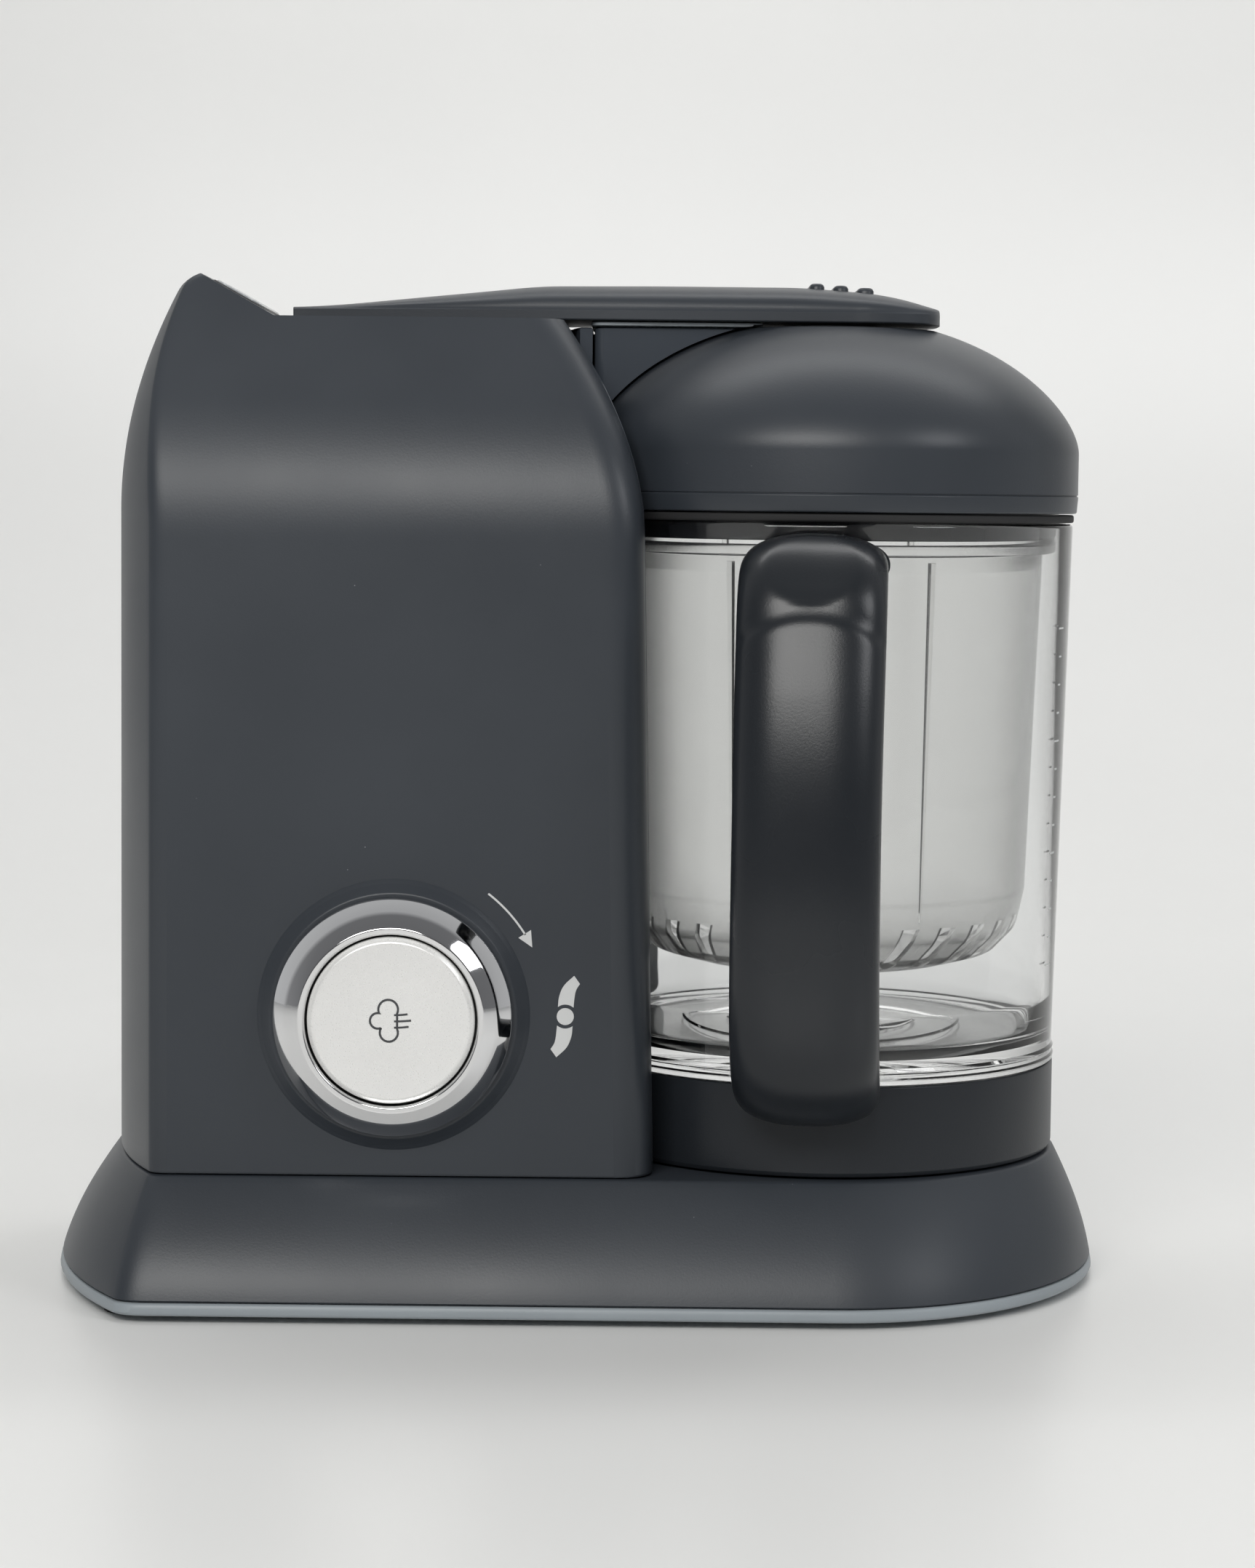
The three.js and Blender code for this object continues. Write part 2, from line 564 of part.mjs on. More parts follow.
function armCover() {
  const rib = ([from, to, z]) => {
    const side = new THREE.Shape([[from, z - 2], [to, z - 2], [to, z + 0.5], [to - 0.9, z + 1.7],
      [from + 0.9, z + 1.7], [from, z + 0.5]].map(([x, h]) => new THREE.Vector2(x, h)));
    const across = new THREE.ExtrudeGeometry(side, { depth: 22, bevelEnabled: false });
    return across.rotateX(Math.PI / 2).translate(0, 11, 0);
  };
  const ribs = [[59.5, 63.4, ARM_Z + 9.6], [66, 69.8, ARM_Z + 9], [72.3, 77, ARM_Z + 8.4]].map(rib);
  const stations = armSections(1.8, ARM_Z - 1).filter((_, k) => k > 0);
  return cut(join(loft(armSections(0, ARM_Z)), ...ribs), loft(stations));
}

function armPlate() {
  const spots = ARM_STATIONS.slice(1).map(([x, half], k) => [k ? Math.min(x, 92.7) : x + 0.5, half - 2.3]);
  const front = spots.map(([x, half]) => new THREE.Vector2(x, -half));
  const back = spots.map(([x, half]) => new THREE.Vector2(x, half)).reverse();
  const outline = new THREE.Shape([...front, ...back]);
  const steamHole = disc(5, 250, 260, 16);
  return cut(prism(outline, ARM_Z, ARM_Z + 1.3), steamHole.clone().translate(JAR_X, 0, 0),
    steamHole.clone().translate(BOILER_X, 0, 0));
}

// The knuckle under the arm's end, turning on the pin in the cradle.
function armKnuckle() {
  const barrel = facingFront(disc(3.1, -13.5, 13.5, 20)).translate(HINGE_X, 0, HINGE_Z);
  const web = block([HINGE_X - 2.4, HINGE_X + 3.1], [-13, 13], [HINGE_Z, ARM_Z - GAP]);
  const bore = facingFront(disc(1.85, -20, 20, 16)).translate(HINGE_X, 0, HINGE_Z);
  return cut(join(barrel, web), bore);
}

const hingePin = () => facingFront(disc(1.7, -18, 18, 16)).translate(HINGE_X, 0, HINGE_Z);
const fillerPlug = () =>
  turned([[3, 247], [9.8, 247], [11.2, 253], [13.6, 254.4], [13.6, 255.7], [3, 255.7], [3, 247]]);
const lidSeal = () => ring(5.5, 13, 255.3, 255.7, 24);

// The space that the lid takes up, with clearance, for pieces of the arm that come down beside it.
const lidSpace = () =>
  turned([[0, 200], [LID_R + 1, 200], ...domeCurve(-1, 12), [31, LID_TOP_Z + GAP], [0, LID_TOP_Z + GAP]], 48)
    .translate(JAR_X, 0, 0);

// The duct that hangs from the arm between the housing and the lid.
const steamDuct = () => cut(block([2.4, 46], [-20, 20], [238, 254.3]), lidSpace());
const ductRim = () => cut(block([1.6, 47], [-21.5, 21.5], [254.6, 255.7]), lidSpace());

// ---- Assembly ----
function piece(name, geometry, finish) {
  const mesh = new THREE.Mesh(geometry, MATERIALS[finish]);
  mesh.name = name;
  return mesh;
}

function placed(x, y, z, ...children) {
  const group = new THREE.Group();
  group.position.set(x, y, z);
  group.add(...children);
  return group;
}

function base() {
  const feet = Object.entries(FEET).map(([where, [x, y]]) =>
    placed(x, y, 0, piece(`foot_${where}`, disc(9, 0, FOOT_HEIGHT, 20), "rubber")));
  const screws = TRAY_SCREWS.map(([x, y], k) =>
    placed(x, y, 0, piece(`tray_screw_${k + 1}`, trayScrew(), "steel")));
  const group = new THREE.Group();
  group.add(piece("base_shell", baseShell(), "charcoal"), piece("bottom_tray", bottomTray(), "lightGrey"));
  group.add(piece("drive_belt", belt(), "rubber"), ...feet, ...screws);
  group.add(placed(JAR_X, 0, 0, piece("drive_bush", driveBush(), "blackPlastic"),
    piece("dock_ring", dockRing(), "satinCharcoal")));
  return group;
}

function column() {
  const group = new THREE.Group();
  group.add(piece("body_shell", bodyShell(), "charcoal"));
  group.add(piece("recess_panel", recessPanel(), "satinCharcoal"));
  group.add(piece("hinge_cradle", hingeCradle(), "blackPlastic"));
  group.add(piece("control_board", controlBoard(), "boardGreen"));
  group.add(piece("switch_block", switchBlock(), "blackPlastic"));
  group.add(placed(BOILER_X, 0, 0, piece("boiler_tank", boilerTank(), "steel"),
    piece("filler_collar", fillerCollar(), "silicone"), piece("heating_plate", heatingPlate(), "aluminium"),
    piece("heating_element", heatingElement(), "steel"), piece("thermostat", thermostat(), "blackPlastic")));
  group.add(placed(MOTOR_X, 0, 0, piece("motor_mount", motorMount(), "blackPlastic"),
    piece("motor_case", motorCase(), "steel")));
  group.add(placed(MOTOR_X, BODY_HALF_DEPTH, 46, piece("cord_gland", cordGland(), "blackPlastic")));
  return group;
}

function knob() {
  const group = placed(KNOB_X, -BODY_HALF_DEPTH, KNOB_Z, piece("knob_ring", knobRing(), "chrome"),
    piece("knob_carrier", knobCarrier(), "blackPlastic"), piece("button_disc", buttonDisc(), "silver"),
    piece("button_stem", buttonStem(), "blackPlastic"));
  group.rotation.x = Math.PI / 2;
  return group;
}

function drive() {
  const rotor = placed(MOTOR_X, 0, 0, piece("motor_shaft", motorShaft(), "copper"),
    piece("motor_fan", motorFan(), "blackPlastic"),
    piece("small_pulley", pulley(SMALL_PULLEY_R, 3.3), "aluminium"));
  const output = placed(JAR_X, 0, 0, piece("drive_shaft", driveShaft(), "steel"),
    piece("drive_coupling", driveCoupling(), "blackPlastic"),
    piece("large_pulley", pulley(LARGE_PULLEY_R, 5.3), "blackPlastic"));
  const group = new THREE.Group();
  group.add(rotor, output);
  return group;
}

function jar() {
  const grip = placed(0, 0, 0, piece("jar_handle", handle(), "charcoal"));
  grip.rotation.z = HANDLE_TURN;
  return placed(JAR_X, 0, 0, piece("bowl", bowl(), "clear"), piece("jar_collar", collar(), "charcoal"),
    piece("jar_bush", jarBush(), "blackPlastic"), piece("cooking_basket", basket(), "frosted"), grip);
}

function cutter() {
  return placed(JAR_X, 0, 0, piece("driven_coupling", drivenCoupling(), "blackPlastic"),
    piece("blade_shaft", bladeShaft(), "steel"), piece("blade_hub", bladeHub(), "blackPlastic"),
    piece("blade", blade(), "steel"), piece("blade_nut", bladeNut(), "blackPlastic"));
}

function lid() {
  return placed(JAR_X, 0, 0, piece("lid_dome", lidDome(), "charcoal"),
    piece("lid_skirt", lidSkirt(), "blackPlastic"), piece("lid_gasket", lidGasket(), "rubber"));
}

function arm() {
  const group = new THREE.Group();
  group.add(piece("arm_cover", armCover(), "charcoal"), piece("arm_plate", armPlate(), "blackPlastic"));
  group.add(piece("arm_knuckle", armKnuckle(), "blackPlastic"), piece("hinge_pin", hingePin(), "steel"));
  group.add(piece("steam_duct", steamDuct(), "satinCharcoal"), piece("duct_rim", ductRim(), "lightGrey"));
  group.add(placed(BOILER_X, 0, 0, piece("filler_plug", fillerPlug(), "silicone")));
  group.add(placed(JAR_X, 0, 0, piece("lid_seal", lidSeal(), "silicone")));
  return group;
}

const foodMaker = new THREE.Group();
foodMaker.add(base(), column(), knob(), drive(), jar(), cutter(), lid(), arm());
// The origin is under the middle of the whole outline, which the handle extends to the front.
foodMaker.position.set(ORIGIN_SHIFT.x, ORIGIN_SHIFT.y, 0);
export default foodMaker;
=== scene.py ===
import math

import bpy
import numpy as np
from mathutils import Matrix, Vector


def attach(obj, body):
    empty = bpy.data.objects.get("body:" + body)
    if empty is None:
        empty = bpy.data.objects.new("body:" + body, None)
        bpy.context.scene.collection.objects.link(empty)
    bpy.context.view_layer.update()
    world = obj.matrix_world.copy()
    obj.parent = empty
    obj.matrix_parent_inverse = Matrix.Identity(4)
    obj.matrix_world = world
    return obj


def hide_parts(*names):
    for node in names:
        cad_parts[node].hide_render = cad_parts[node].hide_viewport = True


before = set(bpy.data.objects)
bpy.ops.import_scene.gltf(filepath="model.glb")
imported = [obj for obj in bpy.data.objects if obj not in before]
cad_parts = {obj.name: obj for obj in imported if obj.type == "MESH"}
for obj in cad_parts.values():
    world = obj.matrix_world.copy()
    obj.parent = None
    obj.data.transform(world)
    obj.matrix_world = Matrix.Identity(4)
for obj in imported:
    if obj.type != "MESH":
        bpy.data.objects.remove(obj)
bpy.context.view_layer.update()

MM = 0.001
SHIFT_Y = 12.5  # the frame's Y minus the design's
JAR_X = 66.0
KNOB = (-46.9, 76.7)  # X and Z of its centre
FACE_Y = -65.0  # front of the column
DECK_Z = 34.5  # top of the base
CREST_Z = 255.5  # flat top of the column
HUMP_Z = 267.0  # its peak at the outer end
BODY_LEFT = -124.3
BODY_CORNER = -109.0
BODY_HALF = 65.0
BEND_LOW, BEND_HIGH, LEAN = 198.0, 234.0, 0.62  # the front bends over, then leans inwards
HUMP_FOOT_X, HUMP_PEAK_X = -80.5, -101.5
RECESS_R = 71.0  # hollow in the column behind the jar
BOILER_X = -41.0
MOTOR_X = -60.0
TAU = 2 * math.pi
SHELL_WALL = 3.0  # wall of the housing's covers
TRAY_SCREWS = [(-92, -56), (-92, 56), (78, -58), (78, 58)]
FLAT_FACING = 0.99999
FLAT_AREA = 60 * MM * MM


# ---------- shader helpers ----------
GLOSS_SPREAD = 0.05
GRAIN_DEPTH = 0.00006
METAL_STRETCH = {"brushed": (1.0, 1.0, 26.0), "blasted": (1.0, 1.0, 1.0), "polished": (1.0, 1.0, 1.0)}
METAL_GRAIN = {"brushed": 240.0, "blasted": 2600.0, "polished": 30.0}


def tree_of(name):
    mat = bpy.data.materials.new(name)
    mat.use_nodes = True
    nodes, links = mat.node_tree.nodes, mat.node_tree.links
    return mat, nodes, links, nodes["Principled BSDF"]


def noise(nodes, links, coord, scale, detail=3.0, rough=0.5):
    n = nodes.new("ShaderNodeTexNoise")
    n.inputs["Scale"].default_value = scale
    n.inputs["Detail"].default_value = detail
    n.inputs["Roughness"].default_value = rough
    links.new(coord, n.inputs["Vector"])
    return n


def ramp(nodes, links, source, stops):
    r = nodes.new("ShaderNodeValToRGB")
    r.color_ramp.elements[0].position, r.color_ramp.elements[0].color = stops[0][0], (*stops[0][1], 1)
    r.color_ramp.elements[1].position, r.color_ramp.elements[1].color = stops[-1][0], (*stops[-1][1], 1)
    for pos, col in stops[1:-1]:
        e = r.color_ramp.elements.new(pos)
        e.color = (*col, 1)
    links.new(source, r.inputs["Fac"])
    return r


def ranged(nodes, links, source, low, high):
    m = nodes.new("ShaderNodeMapRange")
    m.inputs["To Min"].default_value = low
    m.inputs["To Max"].default_value = high
    m.inputs["From Min"].default_value = 0.25
    m.inputs["From Max"].default_value = 0.75
    links.new(source, m.inputs["Value"])
    return m


def bump(nodes, links, height, strength, distance, after=None):
    b = nodes.new("ShaderNodeBump")
    b.inputs["Strength"].default_value = strength
    b.inputs["Distance"].default_value = distance
    links.new(height, b.inputs["Height"])
    if after is not None:
        links.new(after, b.inputs["Normal"])
    return b


def shade(colour, k):
    return tuple(min(1.0, c * k) for c in colour)


def plastic(name, colour, rough, grain=1700.0, strength=0.35, specks=0.0, ior=1.49):
    """Moulded plastic: fine spark-eroded grain, faint blotches in gloss, and a few dust specks."""
    mat, nodes, links, bsdf = tree_of(name)
    at = nodes.new("ShaderNodeTexCoord").outputs["Object"]
    broad = noise(nodes, links, at, 14.0, 4.0)
    fine = noise(nodes, links, at, grain, 2.0, 0.6)
    tint = ramp(nodes, links, broad.outputs["Fac"], [(0.3, shade(colour, 0.93)), (0.7, shade(colour, 1.07))])
    shown = tint.outputs["Color"]
    if specks:
        dots = nodes.new("ShaderNodeTexVoronoi")
        dots.inputs["Scale"].default_value = 190.0
        links.new(at, dots.inputs["Vector"])
        dust = ramp(nodes, links, dots.outputs["Distance"], [(0.018, (specks,) * 3), (0.035, (0, 0, 0))])
        some = noise(nodes, links, at, 31.0, 1.0)
        where = ramp(nodes, links, some.outputs["Fac"], [(0.6, (0, 0, 0)), (0.66, (1, 1, 1))])
        mix = nodes.new("ShaderNodeMix")
        mix.data_type = "RGBA"
        both = nodes.new("ShaderNodeMath")
        both.operation = "MULTIPLY"
        links.new(dust.outputs["Color"], both.inputs[0])
        links.new(where.outputs["Color"], both.inputs[1])
        links.new(both.outputs[0], mix.inputs["Factor"])
        links.new(shown, mix.inputs[6])
        mix.inputs[7].default_value = (0.55, 0.56, 0.57, 1)
        shown = mix.outputs[2]
    links.new(shown, bsdf.inputs["Base Color"])
    gloss = ranged(nodes, links, broad.outputs["Fac"], rough - GLOSS_SPREAD, rough + GLOSS_SPREAD)
    links.new(gloss.outputs[0], bsdf.inputs["Roughness"])
    grained = bump(nodes, links, fine.outputs["Fac"], strength, GRAIN_DEPTH)
    links.new(grained.outputs[0], bsdf.inputs["Normal"])
    bsdf.inputs["IOR"].default_value = ior
    return mat


def clear_plastic(name, colour, rough, haze=0.0):
    """Clear moulded plastic, with faint flow waves, fine wipe scratches and, where frosted, a fine etch."""
    mat, nodes, links, bsdf = tree_of(name)
    at = nodes.new("ShaderNodeTexCoord").outputs["Object"]
    waves = noise(nodes, links, at, 22.0, 1.0)
    stretched = nodes.new("ShaderNodeMapping")
    stretched.inputs["Scale"].default_value = (1.0, 1.0, 1.0 if haze else 6.0)
    links.new(at, stretched.inputs["Vector"])
    wipes = noise(nodes, links, stretched.outputs[0], 160.0, 2.0)
    spread = 0.06 if haze else 0.45
    gloss = ranged(nodes, links, wipes.outputs["Fac"], rough * (1 - spread), rough * (1 + spread))
    links.new(gloss.outputs[0], bsdf.inputs["Roughness"])
    soft = bump(nodes, links, waves.outputs["Fac"], 0.002 if haze else 0.05, 0.0015)
    if haze:
        etch = noise(nodes, links, at, 1400.0, 2.0)
        soft = bump(nodes, links, etch.outputs["Fac"], haze, 0.00008, soft.outputs[0])
    links.new(soft.outputs[0], bsdf.inputs["Normal"])
    tint = ramp(nodes, links, waves.outputs["Fac"], [(0.3, shade(colour, 0.985)), (0.7, colour)])
    links.new(tint.outputs["Color"], bsdf.inputs["Base Color"])
    bsdf.inputs["Transmission Weight"].default_value = 1.0
    bsdf.inputs["IOR"].default_value = 1.47
    return mat


def metal(name, colour, rough, style, strength=0.2, metallic=1.0):
    """Metal or metal paint: brushed along Z, finely blasted, or polished."""
    mat, nodes, links, bsdf = tree_of(name)
    at = nodes.new("ShaderNodeTexCoord").outputs["Object"]
    stretch = nodes.new("ShaderNodeMapping")
    stretch.inputs["Scale"].default_value = METAL_STRETCH[style]
    links.new(at, stretch.inputs["Vector"])
    fine = noise(nodes, links, stretch.outputs[0], METAL_GRAIN[style], 3.0, 0.6)
    broad = noise(nodes, links, at, 18.0, 3.0)
    tint = ramp(nodes, links, broad.outputs["Fac"], [(0.3, shade(colour, 0.95)), (0.7, shade(colour, 1.04))])
    links.new(tint.outputs["Color"], bsdf.inputs["Base Color"])
    gloss = ranged(nodes, links, fine.outputs["Fac"], rough * 0.8, rough * 1.25)
    links.new(gloss.outputs[0], bsdf.inputs["Roughness"])
    links.new(bump(nodes, links, fine.outputs["Fac"], strength, 0.00004).outputs[0], bsdf.inputs["Normal"])
    bsdf.inputs["Metallic"].default_value = metallic
    return mat


CHARCOAL = (0.0325, 0.0385, 0.0475)
MAT = {
    "shell": plastic("shell_plastic", CHARCOAL, 0.40, specks=0.7),
    "lid": plastic("lid_plastic", shade(CHARCOAL, 0.97), 0.38, specks=0.4),
    "handle": plastic("handle_plastic", shade(CHARCOAL, 0.42), 0.28, ior=1.45),
    # collar: charcoal darkened to half; the darkening is painted shade, matching the shaded side of the ring
    "collar": plastic("collar_plastic_painted_shade", shade(CHARCOAL, 0.5), 0.38, ior=1.42),
    # duct, recess wall and cheek: charcoal brightened by half again, painted sheen standing in for the glossy
    # reflection on the duct
    "duct": plastic("duct_plastic_painted_sheen", shade(CHARCOAL, 1.5), 0.22, strength=0.12),
    "tray": plastic("tray_plastic", (0.30, 0.335, 0.36), 0.42),
    # hump window: the light grey paints the reflection on the slope; the low roughness gives it a real gloss
    # as well
    "panel": plastic("panel_plastic_painted_reflection", (0.34, 0.36, 0.375), 0.16, strength=0.1),
    "black": plastic("black_plastic", (0.012, 0.0125, 0.0135), 0.45),
    "dark": plastic("skirt_plastic", (0.016, 0.017, 0.019), 0.22, strength=0.15),
    "rubber": plastic("rubber_black", (0.016, 0.016, 0.017), 0.75, grain=900.0, strength=0.5),
    "silicone": plastic("silicone_grey", (0.55, 0.57, 0.58), 0.5),
    "board": plastic("board_lacquer", (0.02, 0.10, 0.04), 0.35),
    "print": plastic("printed_white", (0.68, 0.69, 0.69), 0.5, strength=0.1),
    "printdark": plastic("printed_dark", (0.05, 0.053, 0.058), 0.5, strength=0.1),
    "clear": clear_plastic("clear_plastic", (0.985, 0.99, 0.99), 0.03),
    "frosted": clear_plastic("frosted_plastic", (0.985, 0.985, 0.978), 0.22, haze=0.02),
    "chrome": metal("chrome_plate", (0.80, 0.80, 0.805), 0.05, "polished", 0.03),
    "cap": metal("button_silver", (0.88, 0.88, 0.865), 0.3, "blasted", 0.25, 0.3),
    "silver": metal("satin_silver", (0.74, 0.745, 0.75), 0.33, "blasted", 0.25),
    "steel": metal("brushed_steel", (0.56, 0.57, 0.58), 0.28, "brushed"),
    "alu": metal("cast_aluminium", (0.45, 0.46, 0.47), 0.5, "blasted", 0.4),
    "copper": metal("varnished_copper", (0.36, 0.17, 0.08), 0.35, "brushed"),
}


# ---------- mesh helpers ----------
def make(name, verts, faces, material, body, nodes=(), sharp=32):
    mesh = bpy.data.meshes.new(name)
    mesh.from_pydata([(x * MM, (y + SHIFT_Y) * MM, z * MM) for x, y, z in verts], [], faces)
    mesh.validate()
    obj = bpy.data.objects.new(name, mesh)
    bpy.context.scene.collection.objects.link(obj)
    mesh.materials.append(MAT[material])
    smooth(obj, sharp)
    if body:
        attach(obj, body)
        if nodes:
            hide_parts(*nodes)
    return obj


def smooth(obj, sharp=32):
    obj.data.polygons.foreach_set("use_smooth", [True] * len(obj.data.polygons))
    obj.data.set_sharp_from_angle(angle=math.radians(sharp))


def carve(obj, cutters, operation="DIFFERENCE", sharp=32):
    """Applies exact booleans in turn and drops the cutters. Large flat fronts and backs are shaded flat."""
    for c in cutters:
        mod = obj.modifiers.new("cut", "BOOLEAN")
        mod.operation, mod.solver, mod.object = operation, "EXACT", c
        bpy.context.view_layer.update()
        graph = bpy.context.evaluated_depsgraph_get()
        made = bpy.data.meshes.new_from_object(obj.evaluated_get(graph))
        obj.modifiers.clear()
        obj.data = made
        bpy.data.objects.remove(c, do_unlink=True)
    while len(obj.data.materials) > 1:
        obj.data.materials.pop()
    smooth(obj, sharp)
    for face in obj.data.polygons:
        if abs(face.normal.y) > FLAT_FACING and face.area > FLAT_AREA:
            face.use_smooth = False
    return obj


def soft(points, steps=4):
    """A profile from (a, b) or (a, b, radius) points, each corner with a radius turned into a tangent arc."""
    out = []
    n = len(points)
    for i, p in enumerate(points):
        if len(p) == 2 or p[2] <= 0:
            out.append((p[0], p[1]))
            continue
        a, b, c = (np.array(points[(i + k) % n][:2], float) for k in (-1, 0, 1))
        u, v = (a - b), (c - b)
        lu, lv = np.linalg.norm(u), np.linalg.norm(v)
        u, v = u / lu, v / lv
        cos = float(np.clip(np.dot(u, v), -1, 1))
        half = math.acos(cos) / 2
        reach = min(p[2] / math.tan(half), lu * 0.49, lv * 0.49)
        radius = reach * math.tan(half)
        centre = b + (u + v) / np.linalg.norm(u + v) * radius / math.sin(half)
        s, e = b + u * reach - centre, b + v * reach - centre
        a0 = math.atan2(s[1], s[0])
        turn = (math.atan2(e[1], e[0]) - a0 + math.pi) % TAU - math.pi
        for k in range(steps + 1):
            t = a0 + turn * k / steps
            out.append((centre[0] + radius * math.cos(t), centre[1] + radius * math.sin(t)))
    return out


def lathe_data(profile, segments, place, closed=False):
    """Turns a profile of (radius, height); place maps (across, up, along) to design coordinates."""
    verts, rows = [], []
    for r, h in profile:
        if r < 1e-6:
            rows.append([len(verts)])
            verts.append(place(0.0, 0.0, h))
        else:
            rows.append(list(range(len(verts), len(verts) + segments)))
            turns = [TAU * k / segments for k in range(segments)]
            verts += [place(r * math.cos(a), r * math.sin(a), h) for a in turns]
    faces = []
    pairs = list(zip(rows, rows[1:])) + ([(rows[-1], rows[0])] if closed else [])
    for a, b in pairs:
        for k in range(segments):
            m = (k + 1) % segments
            if len(a) == 1 and len(b) == 1:
                continue
            if len(a) == 1:
                faces.append((a[0], b[m], b[k]))
            elif len(b) == 1:
                faces.append((a[k], a[m], b[0]))
            else:
                faces.append((a[k], a[m], b[m], b[k]))
    return verts, faces


def upright(cx, cy=0.0):
    return lambda a, b, h: (cx + a, cy + b, h)


def out_front(cx, cz, y=FACE_Y):
    return lambda a, b, h: (cx + a, y - h, cz + b)


def turned(name, profile, material, body, place, segments=96, nodes=(), closed=True, sharp=32):
    verts, faces = lathe_data(profile, segments, place, closed)
    return make(name, verts, faces, material, body, nodes, sharp)


def loft_data(rings):
    """Skins rings of equal length, in order, and caps both ends."""
    n = len(rings[0])
    verts = [tuple(p) for ring in rings for p in ring]
    faces = []
    for i in range(len(rings) - 1):
        for j in range(n):
            k = (j + 1) % n
            faces.append((i * n + j, i * n + k, (i + 1) * n + k, (i + 1) * n + j))
    last = (len(rings) - 1) * n
    faces.append(tuple(reversed(range(n))))
    faces.append(tuple(range(last, last + n)))
    return verts, faces


def cutter(verts, faces):
    return make("cutter", verts, faces, "shell", None)


def bar(x, y, z):
    corners = [(x[0], y[0]), (x[1], y[0]), (x[1], y[1]), (x[0], y[1])]
    return cutter(*loft_data([level(corners, h) for h in z]))


def drum(r, z0, z1, cx, cy=0.0, segments=96):
    return cutter(*lathe_data([(0, z0), (r, z0), (r, z1), (0, z1)], segments, upright(cx, cy)))


def drum_front(r, h0, h1, cx, cz, y=FACE_Y, segments=64):
    return cutter(*flip(lathe_data([(0, h0), (r, h0), (r, h1), (0, h1)], segments, out_front(cx, cz, y))))


def flip(data):
    verts, faces = data
    return verts, [tuple(reversed(f)) for f in faces]


def mix(a, b, t):
    return a + (b - a) * t


def polar(r, degrees):
    return r * math.cos(math.radians(degrees)), r * math.sin(math.radians(degrees))


# ---------- housing outlines, as in the CAD ----------
def bowed(left, corner, half, steps):
    bulge = corner - left
    radius = (half * half + bulge * bulge) / (2 * bulge)
    reach = math.asin(half / radius)
    angles = [mix(reach, -reach, (k + 1) / steps) for k in range(steps - 1)]
    return [(left + radius * (1 - math.cos(a)), radius * math.sin(a)) for a in angles]


def rounded(a, b, c, radius, steps=6):
    def toward(p):
        share = min(0.5, radius / math.hypot(p[0] - b[0], p[1] - b[1]))
        return mix(b[0], p[0], share), mix(b[1], p[1], share)
    p, q = toward(a), toward(c)
    out = []
    for k in range(steps + 1):
        t = k / steps
        out.append(tuple(mix(mix(p[i], b[i], t), mix(b[i], q[i], t), t) for i in (0, 1)))
    return out


def base_outline(z, inset=0.0):
    share = (max(z, 0) / DECK_Z) ** 1.6
    half = mix(85, 65, share) - inset
    left = mix(-141, BODY_LEFT - 0.2, share) + inset
    corner = mix(-115, BODY_CORNER, share) + inset
    end = mix(141, 129.8, share) - JAR_X - inset
    side = bowed(left, corner, half, 24)
    start = rounded((JAR_X, half), (corner, half), side[0], 7, 10)
    stop = rounded(side[-1], (corner, -half), (JAR_X, -half), 7, 10)
    arc = [mix(-math.pi / 2, math.pi / 2, k / 48) for k in range(49)]
    return start + side + stop + [(JAR_X + end * math.cos(a), half * math.sin(a)) for a in arc]


def level(outline, z):
    return [(x, y, z) for x, y in outline]


def body_left(z):
    bowed_in = BODY_LEFT + 11.6 * (max(0.0, z - 205) / 50.5) ** 2
    return bowed_in + 3.2 * (max(0.0, z - 262) / 5) ** 3


def body_half(z):
    bent = min(max(z - BEND_LOW, 0.0), BEND_HIGH - BEND_LOW)
    return BODY_HALF - LEAN * bent * bent / (2 * (BEND_HIGH - BEND_LOW)) - LEAN * max(0.0, z - BEND_HIGH)


def body_right(z):
    drafted = 20 - 0.0235 * (min(z, 200) - DECK_Z)
    return drafted - (20.6 * ((z - 200) / 54) ** 1.8 if z > 200 else 0)


def body_outline(z, inset=0.0):
    """Round the column at height z, with the hollow that the jar stands in."""
    left = body_left(z)
    half = body_half(z) - inset
    corner = left + (BODY_CORNER - BODY_LEFT) * (body_half(z) / BODY_HALF) ** 2 + inset
    side = bowed(left + inset, corner, half, 28)
    right = body_right(z) - inset
    ring = RECESS_R + inset
    across = JAR_X - right
    reach = math.sqrt(max(0.0, ring * ring - across * across)) if across < ring else 0.0
    sweep = math.asin(min(1.0, reach / ring))
    hollow = []
    for k in range(41):
        a = mix(-sweep, sweep, k / 40)
        hollow.append((min(right, JAR_X - ring * math.cos(a)), ring * math.sin(a)))
    out = rounded((right, half), (corner, half), side[0], 4, 12) + side
    out += rounded(side[-1], (corner, -half), (right, -half), 4, 12)
    out += rounded((corner, -half), (right, -half), (right, half), 10, 16)
    out += hollow
    return out + rounded((right, -half), (right, half), (corner, half), 10, 16)


